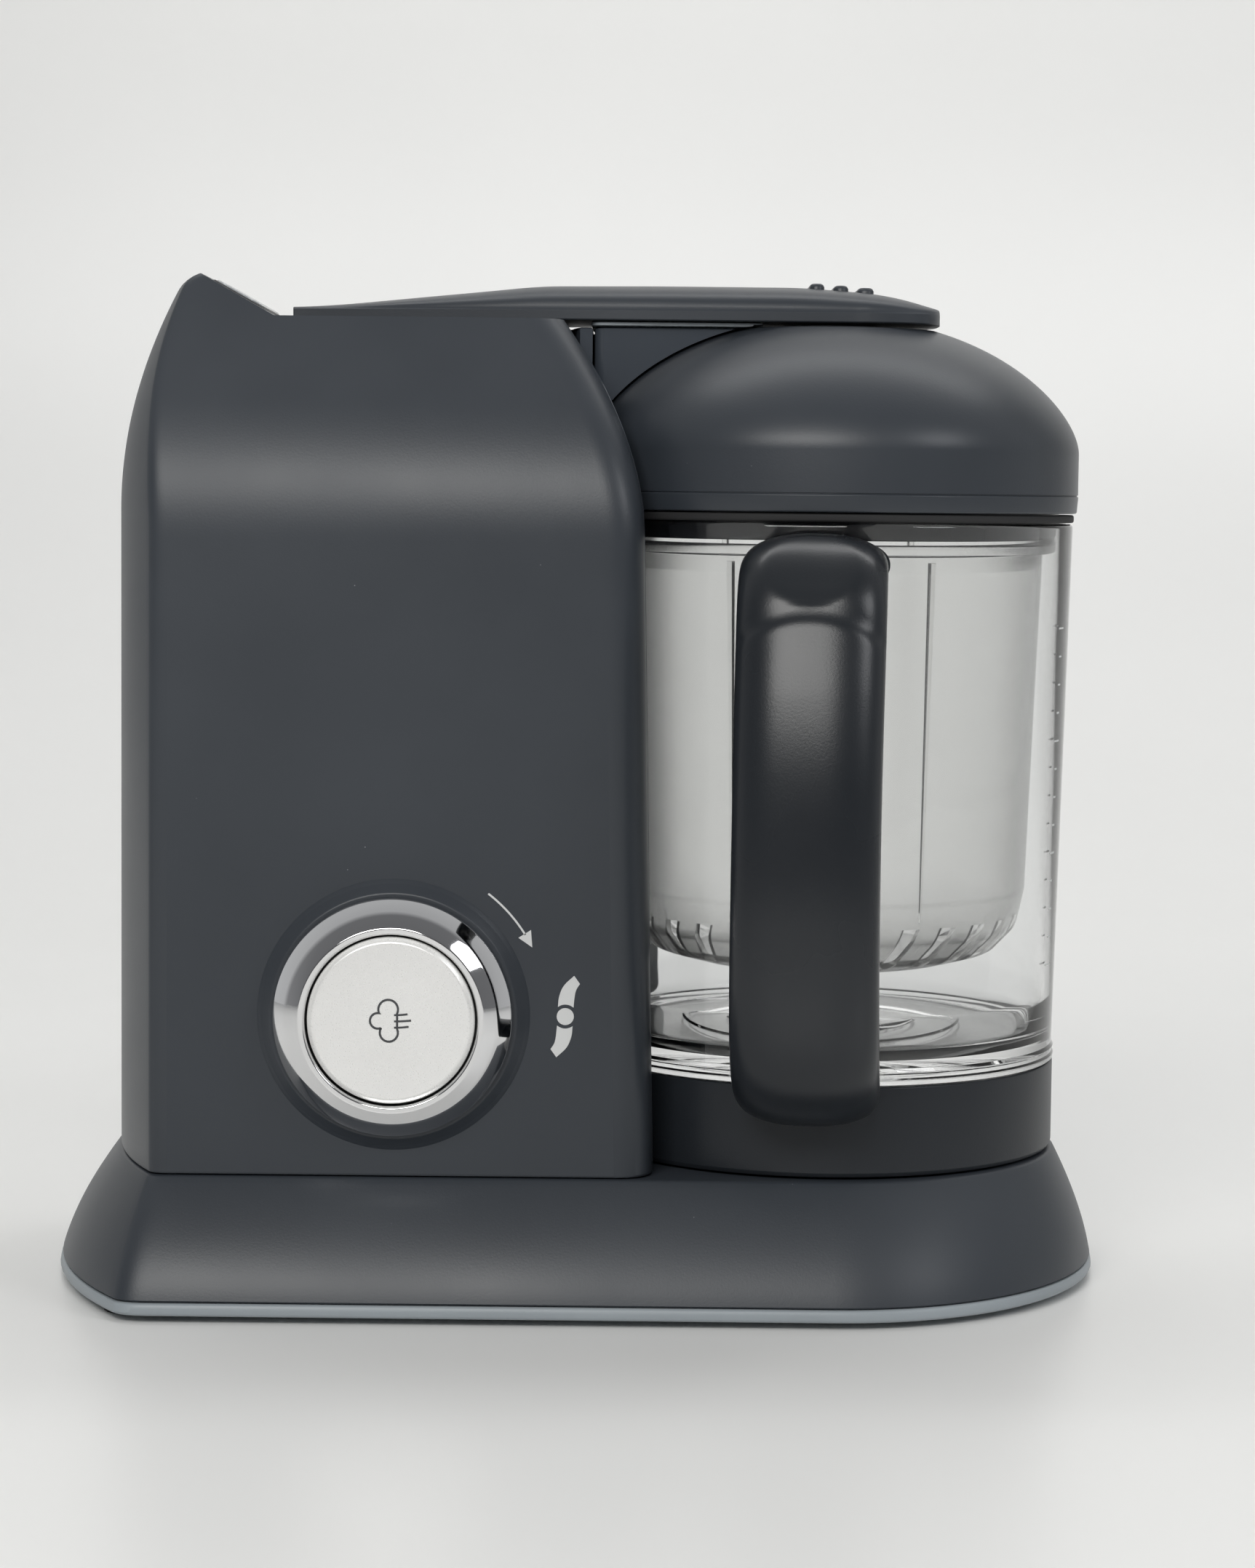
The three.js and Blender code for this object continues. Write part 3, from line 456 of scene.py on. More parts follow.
# ---------- base ----------
def build_base():
    zs = [5.5, 5.9] + [5.5 + (DECK_Z - 6.1) * k / 22 for k in range(1, 23)] + [DECK_Z - 0.2, DECK_Z]
    insets = [0.5, 0] + [0] * 22 + [0.15, 0.6]
    verts, faces = loft_data([level(base_outline(z, i), z) for z, i in zip(zs, insets)])
    shell = make("base_cover", verts, faces, "shell", "housing", ["base_shell"], 40)
    zi = [4.5] + [5.5 + 26 * k / 10 for k in range(11)]
    hollow = cutter(*loft_data([level(base_outline(max(z, 5.5), SHELL_WALL), z) for z in zi]))
    carve(shell, [hollow, drum(13.5, 20, 40, JAR_X), drum(14, 20, 40, MOTOR_X)], sharp=40)
    zt = [2.0, 2.3, 2.9, 4.6, 5.0, 5.2]
    it = [0.9, 0.35, 0.0, 0.0, 0.15, 0.5]
    verts, faces = loft_data([level(base_outline(z, i), z) for z, i in zip(zt, it)])
    tray = make("base_tray", verts, faces, "tray", "housing", ["bottom_tray"], 40)
    inner = cutter(*loft_data([level(base_outline(5.2, SHELL_WALL), z) for z in (4.0, 6.0)]))
    holes = [drum(2.2, 0, 8, x, y, 24) for x, y in TRAY_SCREWS]
    carve(tray, [inner] + holes, sharp=40)


# ---------- column ----------
def build_column():
    low = [34.8, 35.0, 35.5, 196]
    high = list(np.linspace(198, 262, 44)) + [263, 264, 265, 265.8, 266.4, 266.8, HUMP_Z]
    zs = low + high
    ins = [0.6, 0.2, 0.0] + [0.0] * (len(zs) - 6) + [0.15, 0.45, 0.9]
    verts, faces = loft_data([level(body_outline(z, i), z) for z, i in zip(zs, ins)])
    shell = make("body_cover", verts, faces, "shell", "housing", ["body_shell"], 28)
    slope = [(HUMP_FOOT_X, CREST_Z), (60, CREST_Z), (60, 300), (HUMP_PEAK_X, 300)]
    slope.append((HUMP_PEAK_X, HUMP_Z + 0.2))
    roof = cutter(*flip(loft_data([[(x, y, z) for x, z in slope] for y in (-100, 100)])))
    zi = [33.0] + list(np.linspace(40, 196, 6)) + list(np.linspace(200, CREST_Z - 3, 12))
    hollow = cutter(*loft_data([level(body_outline(z, SHELL_WALL), z) for z in zi]))
    holes = [drum(16.5, 240, 260, BOILER_X), bar((-82.7, -67.3), (-19.3, 19.3), (245, 262))]
    holes += [drum_front(10, -20, 20, *KNOB), drum_front(6, -20, 20, MOTOR_X, 46, 65)]
    holes += [bar((-96, -24), (50, 80), (66 + 7 * k, 69 + 7 * k)) for k in range(6)]
    carve(shell, [roof, hollow] + holes, sharp=28)
    rise = [(35.0, -0.5), (35.0, 0.05, 0.1), (33.9, 0.9, 1.5), (31.6, 3.0, 1.0)]
    plinth = soft([(24, -0.5)] + rise + [(24, 3.0)], 6)
    verts, faces = flip(lathe_data(plinth, 128, out_front(*KNOB), True))
    make("knob_plinth", verts, faces, "shell", "housing")


def build_recess():
    """The smooth dark wall of the hollow behind the jar."""
    rows = []
    for z in [34.8, 35.2] + list(np.linspace(45, 200, 8)) + list(np.linspace(206, 254.3, 16)):
        edge = body_right(z) - 0.6
        sweep = math.acos(min(1.0, (JAR_X - edge) / 69.5)) if JAR_X - edge < 69.5 else 0.02
        ring = []
        for r, order in ((68.5, range(41)), (70.5, range(40, -1, -1))):
            for k in order:
                a = mix(-sweep, sweep, k / 40)
                ring.append((JAR_X - r * math.cos(a), -r * math.sin(a), z))
        rows.append(ring)
    verts, faces = loft_data(rows)
    make("recess_wall", verts, faces, "duct", "housing", ["recess_panel"], 40)
    rows = []
    for z, inset in ((233.5, 0.3), (233.8, 0.0), (253.8, 0.0), (254.1, 0.3)):
        arc = np.linspace(22.3 - inset, -19.9 + inset, 20)
        ring = [(JAR_X - math.sqrt(70.3 ** 2 - y * y) + inset, y, z) for y in arc]
        ring += [(1.9 - inset, -19.9 + inset, z), (1.9 - inset, 20.5, z)]
        ring += [(4.9 - inset, 20.7, z), (4.9 - inset, 22.3 - inset, z)]
        rows.append(ring)
    verts, faces = loft_data(rows)
    make("recess_cheek", verts, faces, "duct", "housing")


def build_hump_panel():
    """The glossy strip let into the slope behind the arm, with its dark frame; the strip's light grey colour
    is painted reflection.
    """
    def slab(name, x0, x1, half, low, high, material, slot):
        slope = (HUMP_Z + 0.2 - CREST_Z) / (HUMP_PEAK_X - HUMP_FOOT_X)
        rings = []
        for inset, h in ((0.0, low), (0.0, high - 0.25), (0.3, high)):
            ring = []
            for k in range(40):
                a = TAU * (k + 0.5) / 40
                ex = abs(math.cos(a)) ** 0.35 * math.copysign(1, math.cos(a))
                ey = abs(math.sin(a)) ** 0.35 * math.copysign(1, math.sin(a))
                x = (x0 + x1) / 2 + ((x1 - x0) / 2 - inset) * ex
                y = (half - inset) * ey
                ring.append((x + 0.5 * h, y, CREST_Z + (x - HUMP_FOOT_X) * slope + 0.87 * h))
            rings.append(ring)
        verts, faces = loft_data(rings)
        make(name, verts, faces, material, "housing")
    slab("hump_frame", -98.6, -84.4, 29.0, -0.6, 0.35, "black", "black_plastic")
    slab("hump_window", -97.8, -85.2, 28.0, -0.3, 0.75, "panel", "light_grey")


# ---------- knob, button and printed marks ----------
def front(x, z, h):
    return x, FACE_Y - h, z


def prism(name, outline, low, high, material, body, place):
    """A thin closed slab over a plane outline, in the (across, up) plane of place(a, b, h)."""
    n = len(outline)
    area = sum(a[0] * b[1] - b[0] * a[1] for a, b in zip(outline, outline[1:] + outline[:1]))
    pts = outline if area > 0 else outline[::-1]
    verts = [place(a, b, low) for a, b in pts] + [place(a, b, high) for a, b in pts]
    faces = [tuple(range(n)), tuple(range(2 * n - 1, n - 1, -1))]
    faces += [(k, n + k, n + (k + 1) % n, (k + 1) % n) for k in range(n)]
    return make(name, verts, faces, material, body, sharp=40)


def stroke(points, width, closed=False):
    """The outline of a pen stroke along points, as one polygon or, closed, as outer and inner loops."""
    pts = np.array(points, float)
    n = len(pts)
    left, right = [], []
    for k in range(n):
        a = pts[(k - 1) % n] if closed or k else pts[k]
        b = pts[(k + 1) % n] if closed or k < n - 1 else pts[k]
        d = (b - a) / np.linalg.norm(b - a)
        side = np.array([-d[1], d[0]]) * width / 2
        left.append(tuple(pts[k] + side))
        right.append(tuple(pts[k] - side))
    return (left, right) if closed else left + right[::-1]


def ribbon(name, points, width, low, high, material, body, place):
    """A closed pen stroke as a thin loop."""
    left, right = stroke(points, width, True)
    n = len(points)
    verts = [place(a, b, h) for h in (low, high) for loop in (left, right) for a, b in loop]
    faces = []
    for k in range(n):
        m = (k + 1) % n
        faces += [(k, n + k, n + m, m), (2 * n + k, 2 * n + m, 3 * n + m, 3 * n + k)]
        faces += [(k, m, 2 * n + m, 2 * n + k), (n + k, 3 * n + k, 3 * n + m, n + m)]
    return make(name, verts, faces, material, body, sharp=40)


ARROW_R = 39.6
PICTOGRAM_X = 44.0


def build_knob():
    ring = soft([(21.9, 5.4, 0.2), (28, 5.4), (28, 4.0), (30.5, 4.0, 0.3), (30.6, 5.6, 1.0), (27.2, 9.2, 6.0),
                 (23.6, 11.5, 0.8), (22.3, 11.5, 0.5), (21.9, 10.6, 0.2)], 6)
    verts, faces = flip(lathe_data(ring, 144, out_front(*KNOB), True))
    make("knob_bezel", verts, faces, "chrome", "knob", ["knob_ring"])
    rim = [(21.3, 8.4, 0.2), (21.35, 10.3, 0.9), (20.0, 11.35, 1.2), (12, 11.5, 6)]
    cap = soft([(0, 8.4)] + rim + [(0, 11.68)], 6)
    verts, faces = flip(lathe_data(cap, 128, out_front(*KNOB)))
    make("button_cap", verts, faces, "cap", "button", ["button_disc"])

    def crown(a, b, h):
        return KNOB[0] + a, FACE_Y - (11.68 - 0.18 * (a * a + b * b) / 144) - h, KNOB[1] + b
    lobes = []
    curls = ((-0.6, 3.0, 2.5, -25, 200), (-3.2, 0.1, 2.0, 70, 290), (-0.4, -2.9, 2.3, 150, 385))
    for cx, cz, r, start, stop in curls:
        spots = [polar(r, a) for a in np.linspace(start, stop, 16)]
        lobes += [(cx + a, cz + b) for a, b in spots]
    ribbon("mark_cloud", lobes, 0.55, -0.05, 0.05, "printdark", "button", crown)
    for k, (dx, z) in enumerate(((0.0, 1.6), (0.9, 0.0), (0.3, -1.6))):
        line = [(0.9 + t * (3.4 + dx), z + 0.25 * t * t) for t in np.linspace(0, 1, 8)]
        name = f"mark_steam_{k + 1}"
        prism(name, stroke(line, 0.5), -0.05, 0.05, "printdark", "button", crown)

    def face(a, b, h):
        return front(KNOB[0] + a, KNOB[1] + b, h)
    arc = [polar(ARROW_R, t) for t in np.linspace(52.6, 32.0, 30)]
    prism("mark_arrow_line", stroke(arc, 0.5), -0.05, 0.06, "print", "housing", face)
    head = [polar(ARROW_R, 26.6), polar(ARROW_R + 1.9, 32.4), polar(ARROW_R - 1.9, 32.4)]
    prism("mark_arrow_head", head, -0.05, 0.06, "print", "housing", face)

    def wing(sign):
        left, _ = spline([(-1.9, 2.45), (-1.6, 5.2), (-0.4, 8.0), (2.2, 10.55)], 16)
        right, _ = spline([(3.7, 8.45), (2.75, 6.9), (2.35, 5.0), (2.1, 2.35)], 16)
        under = [polar(3.1, t) for t in np.linspace(52, 126, 10)]
        return [(PICTOGRAM_X + sign * a, sign * b) for a, b in list(left) + list(right) + under]
    prism("mark_blade_upper", wing(1), -0.05, 0.06, "print", "housing", face)
    prism("mark_blade_lower", wing(-1), -0.05, 0.06, "print", "housing", face)
    dot = [(PICTOGRAM_X + a, b) for a, b in (polar(2.2, 360 * k / 28) for k in range(28))]
    prism("mark_blade_hub", dot, -0.05, 0.06, "print", "housing", face)


# ---------- jar ----------
def jar_r(z):
    return mix(62.8, 66.0, (z - 58.7) / (203.5 - 58.7))


def build_jar():
    w = 2.6
    outside = [(8, 59, 0.2), (63.4, 59, 0.4), (63.5, 60.4, 0.3), (63.0, 60.9, 0.2), (63.0, 61.8, 0.2),
               (63.5, 62.3, 0.3), (jar_r(63.4), 63.4, 0.4), (66.0, 203.5, 1.1)]
    inside = [(66 - w, 203.5, 1.1), (jar_r(76) - w, 76, 14), (59.4, 67.6, 4), (55, 64.6, 1.5)]
    floor_ring = [(38.4, 64.4, 0.2), (38.0, 65.0, 0.25), (36.6, 65.0, 0.25), (36.2, 64.4, 0.2)]
    boss = [(26, 64.4, 0.3), (25.2, 66, 0.5), (12, 66, 0.8), (11.5, 69, 0.4), (8, 69, 0.3)]
    bowl = soft(outside + inside + floor_ring + boss, 5)
    turned("bowl_wall", bowl, "clear", "jar", upright(JAR_X), 144, ["bowl"])
    ring = soft([(60, 35.2, 0.2), (62.7, 35.2, 0.5), (63.3, 36.4, 0.6), (63.3, 58.5, 0.5), (62.6, 58.7),
                 (20.2, 58.7, 0.2), (20.2, 56.4, 0.2), (60, 56.4, 0.5)], 4)
    turned("collar_ring", ring, "collar", "jar", upright(JAR_X), 144, ["jar_collar"])
    wall = 1.7
    outer = [(0, 84.2), (36, 84.2, 6), (47, 87.4, 6), (53, 94, 6), (55.2, 104, 8), (58.5, 194.6, 0.6),
             (62.2, 195.1, 0.4), (62.3, 197.6, 0.7)]
    inner = [(58.9, 197.6, 0.7), (58.2 - wall, 190, 3), (55.3 - wall, 104.4, 8), (51.7, 95.0, 5),
             (46.1, 89.0, 5), (36, 85.9, 5), (0, 85.9)]
    basket = turned("basket_wall", soft(outer + inner, 5), "frosted", "jar", upright(JAR_X), 96,
                    ["cooking_basket"], closed=False, sharp=40)
    cuts = []
    for k in range(30):
        a = TAU * k / 30
        rings = []
        for t in np.linspace(0, 1, 4):
            z, r, lean = mix(86.3, 98.0, t), mix(42.5, 53.0, t), a + 0.075 * t
            ring4 = []
            for dr, da in ((-5, -0.042), (7, -0.042), (7, 0.042), (-5, 0.042)):
                ring4.append((JAR_X + (r + dr) * math.cos(lean + da), (r + dr) * math.sin(lean + da), z))
            rings.append(ring4)
        cuts.append(loft_data(rings))
    verts, faces = [], []
    for v, f in cuts:
        faces += [tuple(i + len(verts) for i in face) for face in f]
        verts += v
    carve(basket, [cutter(verts, faces)], sharp=40)
    for k, angle in enumerate((-66, -118, 62, 118)):
        rib_rings = []
        for t in np.linspace(0, 1, 10):
            z = mix(100, 193, t)
            a = math.radians(angle)
            r = mix(55.0, 58.2, t) + 0.05
            half = mix(0.35, 1.1, t)
            high = mix(0.2, 0.75, t)
            spot = []
            for da, dr in ((-half, -0.3), (-half * 0.6, high), (half * 0.6, high), (half, -0.3)):
                spot.append((JAR_X + (r + dr) * math.cos(a + da / r), (r + dr) * math.sin(a + da / r), z))
            rib_rings.append(spot)
        verts, faces = loft_data(rib_rings)
        make(f"basket_rib_{k + 1}", verts, faces, "frosted", "jar", sharp=50)
    # tick marks for volume, moulded on the bowl's right side
    for k in range(13):
        z = 86 + 7.5 * k
        a = math.radians(-21)
        long = 4.4 if k % 4 == 0 else 2.2
        r = jar_r(z) + 0.02
        sweep = long / r
        pts = [(a + sweep * t, r) for t in np.linspace(-0.5, 0.5, 8)]
        rings = [[(JAR_X + (rr + dr) * math.cos(aa), (rr + dr) * math.sin(aa), z + dz)
                  for dr, dz in ((-0.05, -0.25), (0.1, -0.22), (0.1, 0.22), (-0.05, 0.25))] for aa, rr in pts]
        verts, faces = loft_data(rings)
        make(f"level_mark_{k + 1}", verts, faces, "print", "jar", sharp=60)


def spline(points, count):
    """Catmull-Rom through points, at evenly spaced lengths."""
    p = [np.array(q, float) for q in points]
    p = [2 * p[0] - p[1]] + p + [2 * p[-1] - p[-2]]
    dense = []
    for i in range(1, len(p) - 2):
        for t in np.linspace(0, 1, 24, endpoint=False):
            a, b, c, d = p[i - 1:i + 3]
            bend = (2 * a - 5 * b + 4 * c - d) * t ** 2 + (3 * b - a - 3 * c + d) * t ** 3
            dense.append(0.5 * (2 * b + (c - a) * t + bend))
    dense = np.array(dense + [p[-2]])
    run = np.concatenate([[0], np.cumsum(np.linalg.norm(np.diff(dense, axis=0), axis=1))])
    want = np.linspace(0, run[-1], count)
    return np.stack([np.interp(want, run, dense[:, k]) for k in range(2)], 1), run[-1]


def build_handle():
    route = [(58, 193.0), (72, 192.8), (81, 190.5), (86.5, 184.5), (90, 175), (95, 158.5), (98.6, 141),
             (100.6, 122), (101, 104), (99.4, 88), (94.5, 74), (86, 64.8), (74, 58.8), (58, 56.3)]
    count, around = 340, 72
    line, length = spline(route, count)
    tangent = np.gradient(line, axis=0)
    tangent /= np.linalg.norm(tangent, axis=1)[:, None]
    turn = math.radians(-5.5)
    rings = []
    for i in range(count):
        s = i / (count - 1)
        (reach, z), (tr, tz) = line[i], tangent[i]
        ends = abs(2 * s - 1) ** 7
        half = 19.2 - 2.2 * ends - 0.8 * math.sin(math.pi * s)
        thick = 8.4 - 1.2 * ends
        along = s * length
        ring = []
        for k in range(around):
            a = TAU * k / around
            c, d = math.cos(a), math.sin(a)
            wide = half * math.copysign(abs(c) ** 0.8, c)
            deep = thick * math.copysign(abs(d) ** 0.95, d)
            # The outer side of the grip: a dished thumb rest on top, and an arched crease below it.
            if d > 0:
                u, v = wide / 12.0, (along - 27.0) / 9.0
                q = u * u + v * v
                if q < 1:
                    deep -= 1.9 * (1 - q) ** 1.3
                crease = along - (37.0 + 0.018 * wide * wide)
                deep -= 0.5 * math.exp(-(crease / 1.9) ** 2) * min(1.0, d * 3)
                if crease < 0:
                    deep -= 0.5 * min(1.0, d * 2) * math.exp(-(crease / 8.0) ** 2) * min(1.0, -crease / 2.5)
            # across the spine's plane: the outward normal is (-tz, tr) turned to face away from the jar
            nr, nz = (-tz, tr)
            r_out, z_out = reach + nr * deep, z + nz * deep
            x, y = wide, -r_out
            rr = math.hypot(x, y)
            keep = jar_r(max(z_out, 60)) + 0.45 if z_out > 58.9 else 63.75
            if rr < keep:
                x, y = x * keep / rr, y * keep / rr
            across = x * math.cos(turn) - y * math.sin(turn)
            ring.append((JAR_X + across, x * math.sin(turn) + y * math.cos(turn), z_out))
        rings.append(ring)
    verts, faces = loft_data(rings)
    make("handle_grip", verts, faces, "handle", "jar", ["jar_handle"], 50)


# ---------- lid ----------
def bezier(p0, p1, p2, p3, count):
    out = []
    for t in np.linspace(0, 1, count):
        k = ((1 - t) ** 3, 3 * t * (1 - t) ** 2, 3 * t * t * (1 - t), t ** 3)
        out.append(tuple(sum(w * p[i] for w, p in zip(k, (p0, p1, p2, p3))) for i in (0, 1)))
    return out


def dome(wall, count):
    r, drop = 67.2 - wall, wall * 0.9
    pts = bezier((r, 222 - drop), (r, 233 - drop), (45 - wall, 258.5 - drop), (0, 258.5 - drop), count)
    return [p for p in pts if p[1] < 255 - drop - 0.15]


def build_lid():
    profile = soft([(65.4, 206.2, 0.2), (66.9, 206.3, 0.5), (67.25, 210.6, 0.35), (66.85, 211.0, 0.1),
                    (67.3, 211.5, 0.35)], 4)
    profile += dome(0, 60)
    profile += soft([(30, 255, 1), (8, 255, 0.4), (6, 253.4, 0.4), (6, 252.4, 0.3)], 4)[1:]
    profile += dome(2.8, 24)[::-1] + [(64.4, 206.4)]
    turned("lid_cap", profile, "lid", "lid", upright(JAR_X), 160, ["lid_dome"], sharp=38)
    skirt = soft([(59.8, 198.8, 0.5), (62.2, 198.8, 0.5), (62.2, 212, 0.3), (59.8, 212, 0.3)], 4)
    turned("lid_inner_skirt", skirt, "dark", "lid", upright(JAR_X), 128, ["lid_skirt"])
    seal = soft([(62.6, 203.8, 0.3), (66.2, 203.8, 0.6), (66.2, 205.9, 0.6), (62.6, 205.9, 0.3)], 4)
    turned("lid_seal_ring", seal, "rubber", "lid", upright(JAR_X), 128, ["lid_gasket"])


# ---------- arm ----------
# Along the arm: place, half width, height of the crown.
STATIONS = np.array([(-78, 13.5, 0.4), (-66, 15, 1.2), (-45, 18, 3.4), (-28, 20.5, 5.1), (-12, 22.5, 6.8),
                     (20, 24, 7.1), (58, 24, 7.1), (78, 23.6, 5.6), (88, 21.5, 3.4), (93.5, 17, 1.6),
                     (95, 12, 1)])


def arm_size(x):
    half = np.interp(x, STATIONS[:, 0], STATIONS[:, 1])
    crown = np.mean([np.interp(x + d, STATIONS[:, 0], STATIONS[:, 2]) for d in (-5, -2.5, 0, 2.5, 5)])
    if x > 72:
        half = 24 * max(0.0, 1 - ((x - 72) / 23.0) ** 3.0) ** (1 / 3.0)
    return half, crown


def build_arm():
    def ring(x, inset=0.0, low=256.0):
        half, crown = arm_size(x)
        half = max(half - inset, 0.4)
        points = []
        top = 258.75
        points += [(x, -half + 0.3, low), (x, half - 0.3, low), (x, half, low + 0.3)]
        points += [(x, half, top - 0.15), (x, half - 0.25, top + 0.1)]
        for k in range(1, 30):
            a = math.pi * k / 30
            c, d = math.cos(a), math.sin(a)
            y = (half - 0.45) * math.copysign(abs(c) ** 0.7, c)
            points.append((x, y, top + 0.1 + crown * d ** 0.85))
        for y, z in ((-half + 0.25, top + 0.1), (-half, top - 0.15), (-half, low + 0.3)):
            points.append((x, y, z))
        return points
    nose = [72 + 22.95 * math.sin(math.pi / 2 * k / 20) for k in range(1, 21)]
    xs = [-78, -77.7] + list(np.linspace(-77, 72, 92)) + nose
    rings = [ring(x, 0.3 if i == 0 else 0.0) for i, x in enumerate(xs)]
    verts, faces = loft_data(rings)
    cover = make("arm_shell", verts, faces, "shell", "arm", ["arm_cover"], 30)
    inner = []
    for x in np.linspace(-64, 92.6, 30):
        half, crown = arm_size(x)
        w = max(half - 1.9, 1.5)
        z = 258.3 + crown - 1.9
        z = max(z, 257.8)
        section = ((-w, 255), (w, 255), (w, 257.6), (w * 0.5, z), (-w * 0.5, z), (-w, 257.6))
        inner.append([(x, y, h) for y, h in section])
    carve(cover, [cutter(*loft_data(inner))], sharp=30)
    for k, (x0, x1) in enumerate(((59.6, 63.6), (66.0, 70.0), (72.4, 76.8))):
        crown = arm_size((x0 + x1) / 2)[1]
        top = 258.85 + crown + 1.2
        rings = []
        for z, inset in ((top - 2.6, 0.0), (top - 0.9, 0.0), (top - 0.25, 0.35), (top, 0.95)):
            rings.append([(x, y, z) for x, y in pill(x0 + inset, x1 - inset, 11 - inset, 1.9)])
        verts, faces = loft_data(rings)
        make(f"arm_ridge_{k + 1}", verts, faces, "shell", "arm", sharp=50)


def pill(x0, x1, half, r, steps=6):
    r = min(r, (x1 - x0) / 2 - 0.01)
    out = []
    centres = ((x1 - r, half - r), (x0 + r, half - r), (x0 + r, -half + r), (x1 - r, -half + r))
    for corner, (cx, cy) in enumerate(centres):
        spots = [polar(r, 90 * corner + 90 * k / steps) for k in range(steps + 1)]
        out += [(cx + a, cy + b) for a, b in spots]
    return out


def lid_space(grow):
    profile = [(0, 200), (67.2 + grow, 200), (67.2 + grow, 222)]
    top = 258.5 + grow * 0.9
    for r, z in bezier((67.2 + grow, 222), (67.2 + grow, 233), (45 + grow, top), (0, top), 60):
        if z < 255.2:
            profile.append((r, z))
    profile += [(profile[-1][0], 255.3), (0, 255.3)]
    return cutter(*lathe_data(profile, 144, upright(JAR_X)))


def build_duct():
    def slab(name, x0, x1, half, zs, material, node, slot):
        rings = [[(x, y, z) for x, y in pill(x0 + i, x1 - i, half - i, 2.5, 5)] for z, i in zs]
        verts, faces = loft_data(rings)
        obj = make(name, verts, faces, material, "arm", [node], 40)
        carve(obj, [lid_space(1.0)], sharp=40)
        return obj
    body_zs = ((233, 0), (253.9, 0), (254.3, 0.4))
    strip_zs = ((254.6, 0.3), (254.8, 0), (255.5, 0), (255.7, 0.25))
    slab("duct_body", 2.4, 46, 20, body_zs, "duct", "steam_duct", "satin_charcoal")
    # the duct's rim in the light grey tray plastic: its colour is a painted highlight along the duct's top
    # edge
    slab("duct_strip_painted_highlight", 1.6, 47, 21.5, strip_zs, "tray", "duct_rim", "light_grey")


def dress_inner_nodes():
    """Pieces whose CAD shape is kept, each with its own finish."""
    finishes = {
        "rubber": ["drive_belt", "foot_front_left", "foot_rear_left", "foot_front_right", "foot_rear_right"],
        "steel": ["tray_screw_1", "tray_screw_2", "tray_screw_3", "tray_screw_4", "boiler_tank",
                  "heating_element", "motor_case", "drive_shaft", "blade_shaft", "blade", "hinge_pin"],
        "black": ["drive_bush", "hinge_cradle", "switch_block", "thermostat", "motor_mount", "cord_gland",
                  "knob_carrier", "button_stem", "motor_fan", "drive_coupling", "large_pulley", "jar_bush",
                  "driven_coupling", "blade_hub", "blade_nut", "arm_plate", "arm_knuckle"],
        "collar": ["dock_ring"],
        "board": ["control_board"],
        "silicone": ["filler_collar", "filler_plug", "lid_seal"],
        "alu": ["heating_plate", "small_pulley"],
        "copper": ["motor_shaft"],
    }
    for finish, names in finishes.items():
        for name in names:
            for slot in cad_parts[name].material_slots:
                slot.material = MAT[finish]


# ---------- floor, light and camera ----------
def build_stage():
    mat, nodes, links, bsdf = tree_of("studio_floor")
    at = nodes.new("ShaderNodeTexCoord").outputs["Object"]
    cloud = noise(nodes, links, at, 3.0, 3.0)
    tint = ramp(nodes, links, cloud.outputs["Fac"], [(0.3, (0.86, 0.86, 0.845)), (0.7, (0.89, 0.89, 0.875))])
    links.new(tint.outputs["Color"], bsdf.inputs["Base Color"])
    bsdf.inputs["Roughness"].default_value = 0.35
    rows = [(-2.6, 0.0), (0.75, 0.0)]
    rows += [(0.75 + 0.6 * math.sin(a), 0.6 - 0.6 * math.cos(a)) for a in np.linspace(0.1, math.pi / 2, 14)]
    rows += [(1.35, 3.2)]
    mesh = bpy.data.meshes.new("studio_floor")
    verts = [(x, y, z) for y, z in rows for x in (-3.2, 3.2)]
    mesh.from_pydata(verts, [], [(2 * k, 2 * k + 1, 2 * k + 3, 2 * k + 2) for k in range(len(rows) - 1)])
    mesh.materials.append(mat)
    obj = bpy.data.objects.new("studio_floor", mesh)
    bpy.context.scene.collection.objects.link(obj)
    mesh.polygons.foreach_set("use_smooth", [True] * len(mesh.polygons))


def soft_light(name, place, target, size, power, colour=(1, 1, 1)):
    lamp = bpy.data.lights.new(name, "AREA")
    lamp.shape, lamp.size, lamp.size_y = "RECTANGLE", size[0], size[1]
    lamp.energy, lamp.color = power, colour
    obj = bpy.data.objects.new(name, lamp)
    obj.location = place
    obj.rotation_euler = (Vector(target) - Vector(place)).to_track_quat("-Z", "Y").to_euler()
    bpy.context.scene.collection.objects.link(obj)


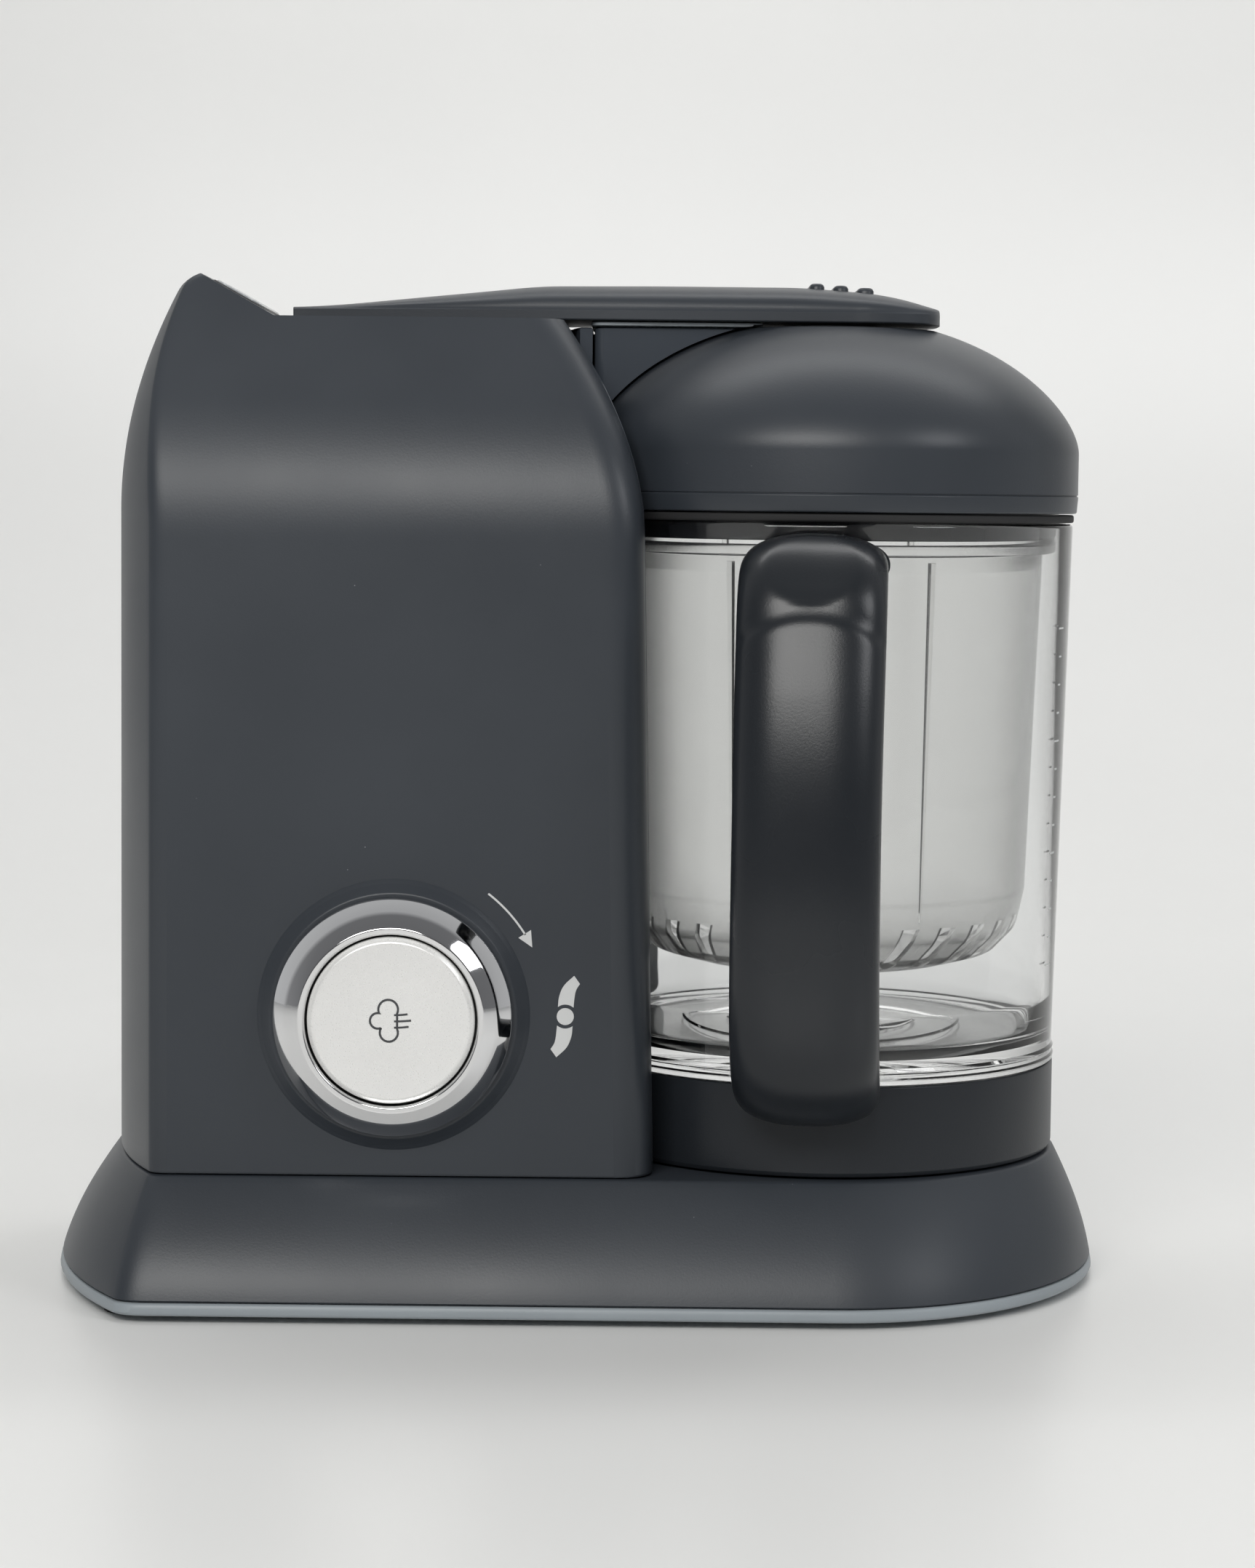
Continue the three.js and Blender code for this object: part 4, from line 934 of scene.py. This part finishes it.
def build_lights():
    world = bpy.data.worlds.new("studio")
    world.use_nodes = True
    bpy.context.scene.world = world
    nodes, links = world.node_tree.nodes, world.node_tree.links
    split = nodes.new("ShaderNodeSeparateXYZ")
    links.new(nodes.new("ShaderNodeTexCoord").outputs["Generated"], split.inputs[0])
    span = nodes.new("ShaderNodeMapRange")
    span.inputs["From Min"].default_value = -1.0
    links.new(split.outputs["Y"], span.inputs["Value"])
    room = [(0.0, (0.09, 0.09, 0.095)), (0.28, (0.17, 0.172, 0.178)), (0.5, (0.46, 0.465, 0.47)),
            (0.75, (0.66, 0.67, 0.68)), (1.0, (0.66, 0.67, 0.68))]
    links.new(ramp(nodes, links, span.outputs[0], room).outputs["Color"], nodes["Background"].inputs["Color"])
    nodes["Background"].inputs["Strength"].default_value = 0.95
    soft_light("key", (-0.28, -1.35, 0.98), (-0.02, 0, 0.16), (1.0, 0.5), 14, (1.0, 0.99, 0.965))
    soft_light("side", (1.15, -0.9, 0.95), (0.05, 0, 0.15), (0.5, 0.5), 4.2, (0.97, 0.98, 1.0))
    soft_light("wall", (0.2, 0.55, 1.5), (0.1, 1.3, 0.4), (1.8, 0.5), 11)


def build_camera():
    lens = bpy.data.cameras.new("camera")
    lens.sensor_fit, lens.sensor_width, lens.sensor_height = "AUTO", 36.0, 24.0
    lens.lens = 82.6
    cam = bpy.data.objects.new("camera", lens)
    bpy.context.scene.collection.objects.link(cam)
    pitch, roll = math.radians(4.65), math.radians(0.62)
    look = Matrix.Rotation(math.radians(90) - pitch, 4, "X") @ Matrix.Rotation(roll, 4, "Z")
    cam.matrix_world = Matrix.Translation((12.4 * MM, (-979 + SHIFT_Y) * MM, 211 * MM)) @ look
    bpy.context.scene.camera = cam


build_base()
build_column()
build_recess()
build_hump_panel()
build_knob()
build_jar()
build_handle()
build_lid()
build_arm()
build_duct()
dress_inner_nodes()
build_stage()
build_lights()
build_camera()
bpy.context.scene.view_settings.view_transform = "Standard"
bpy.context.scene.view_settings.look = "None"
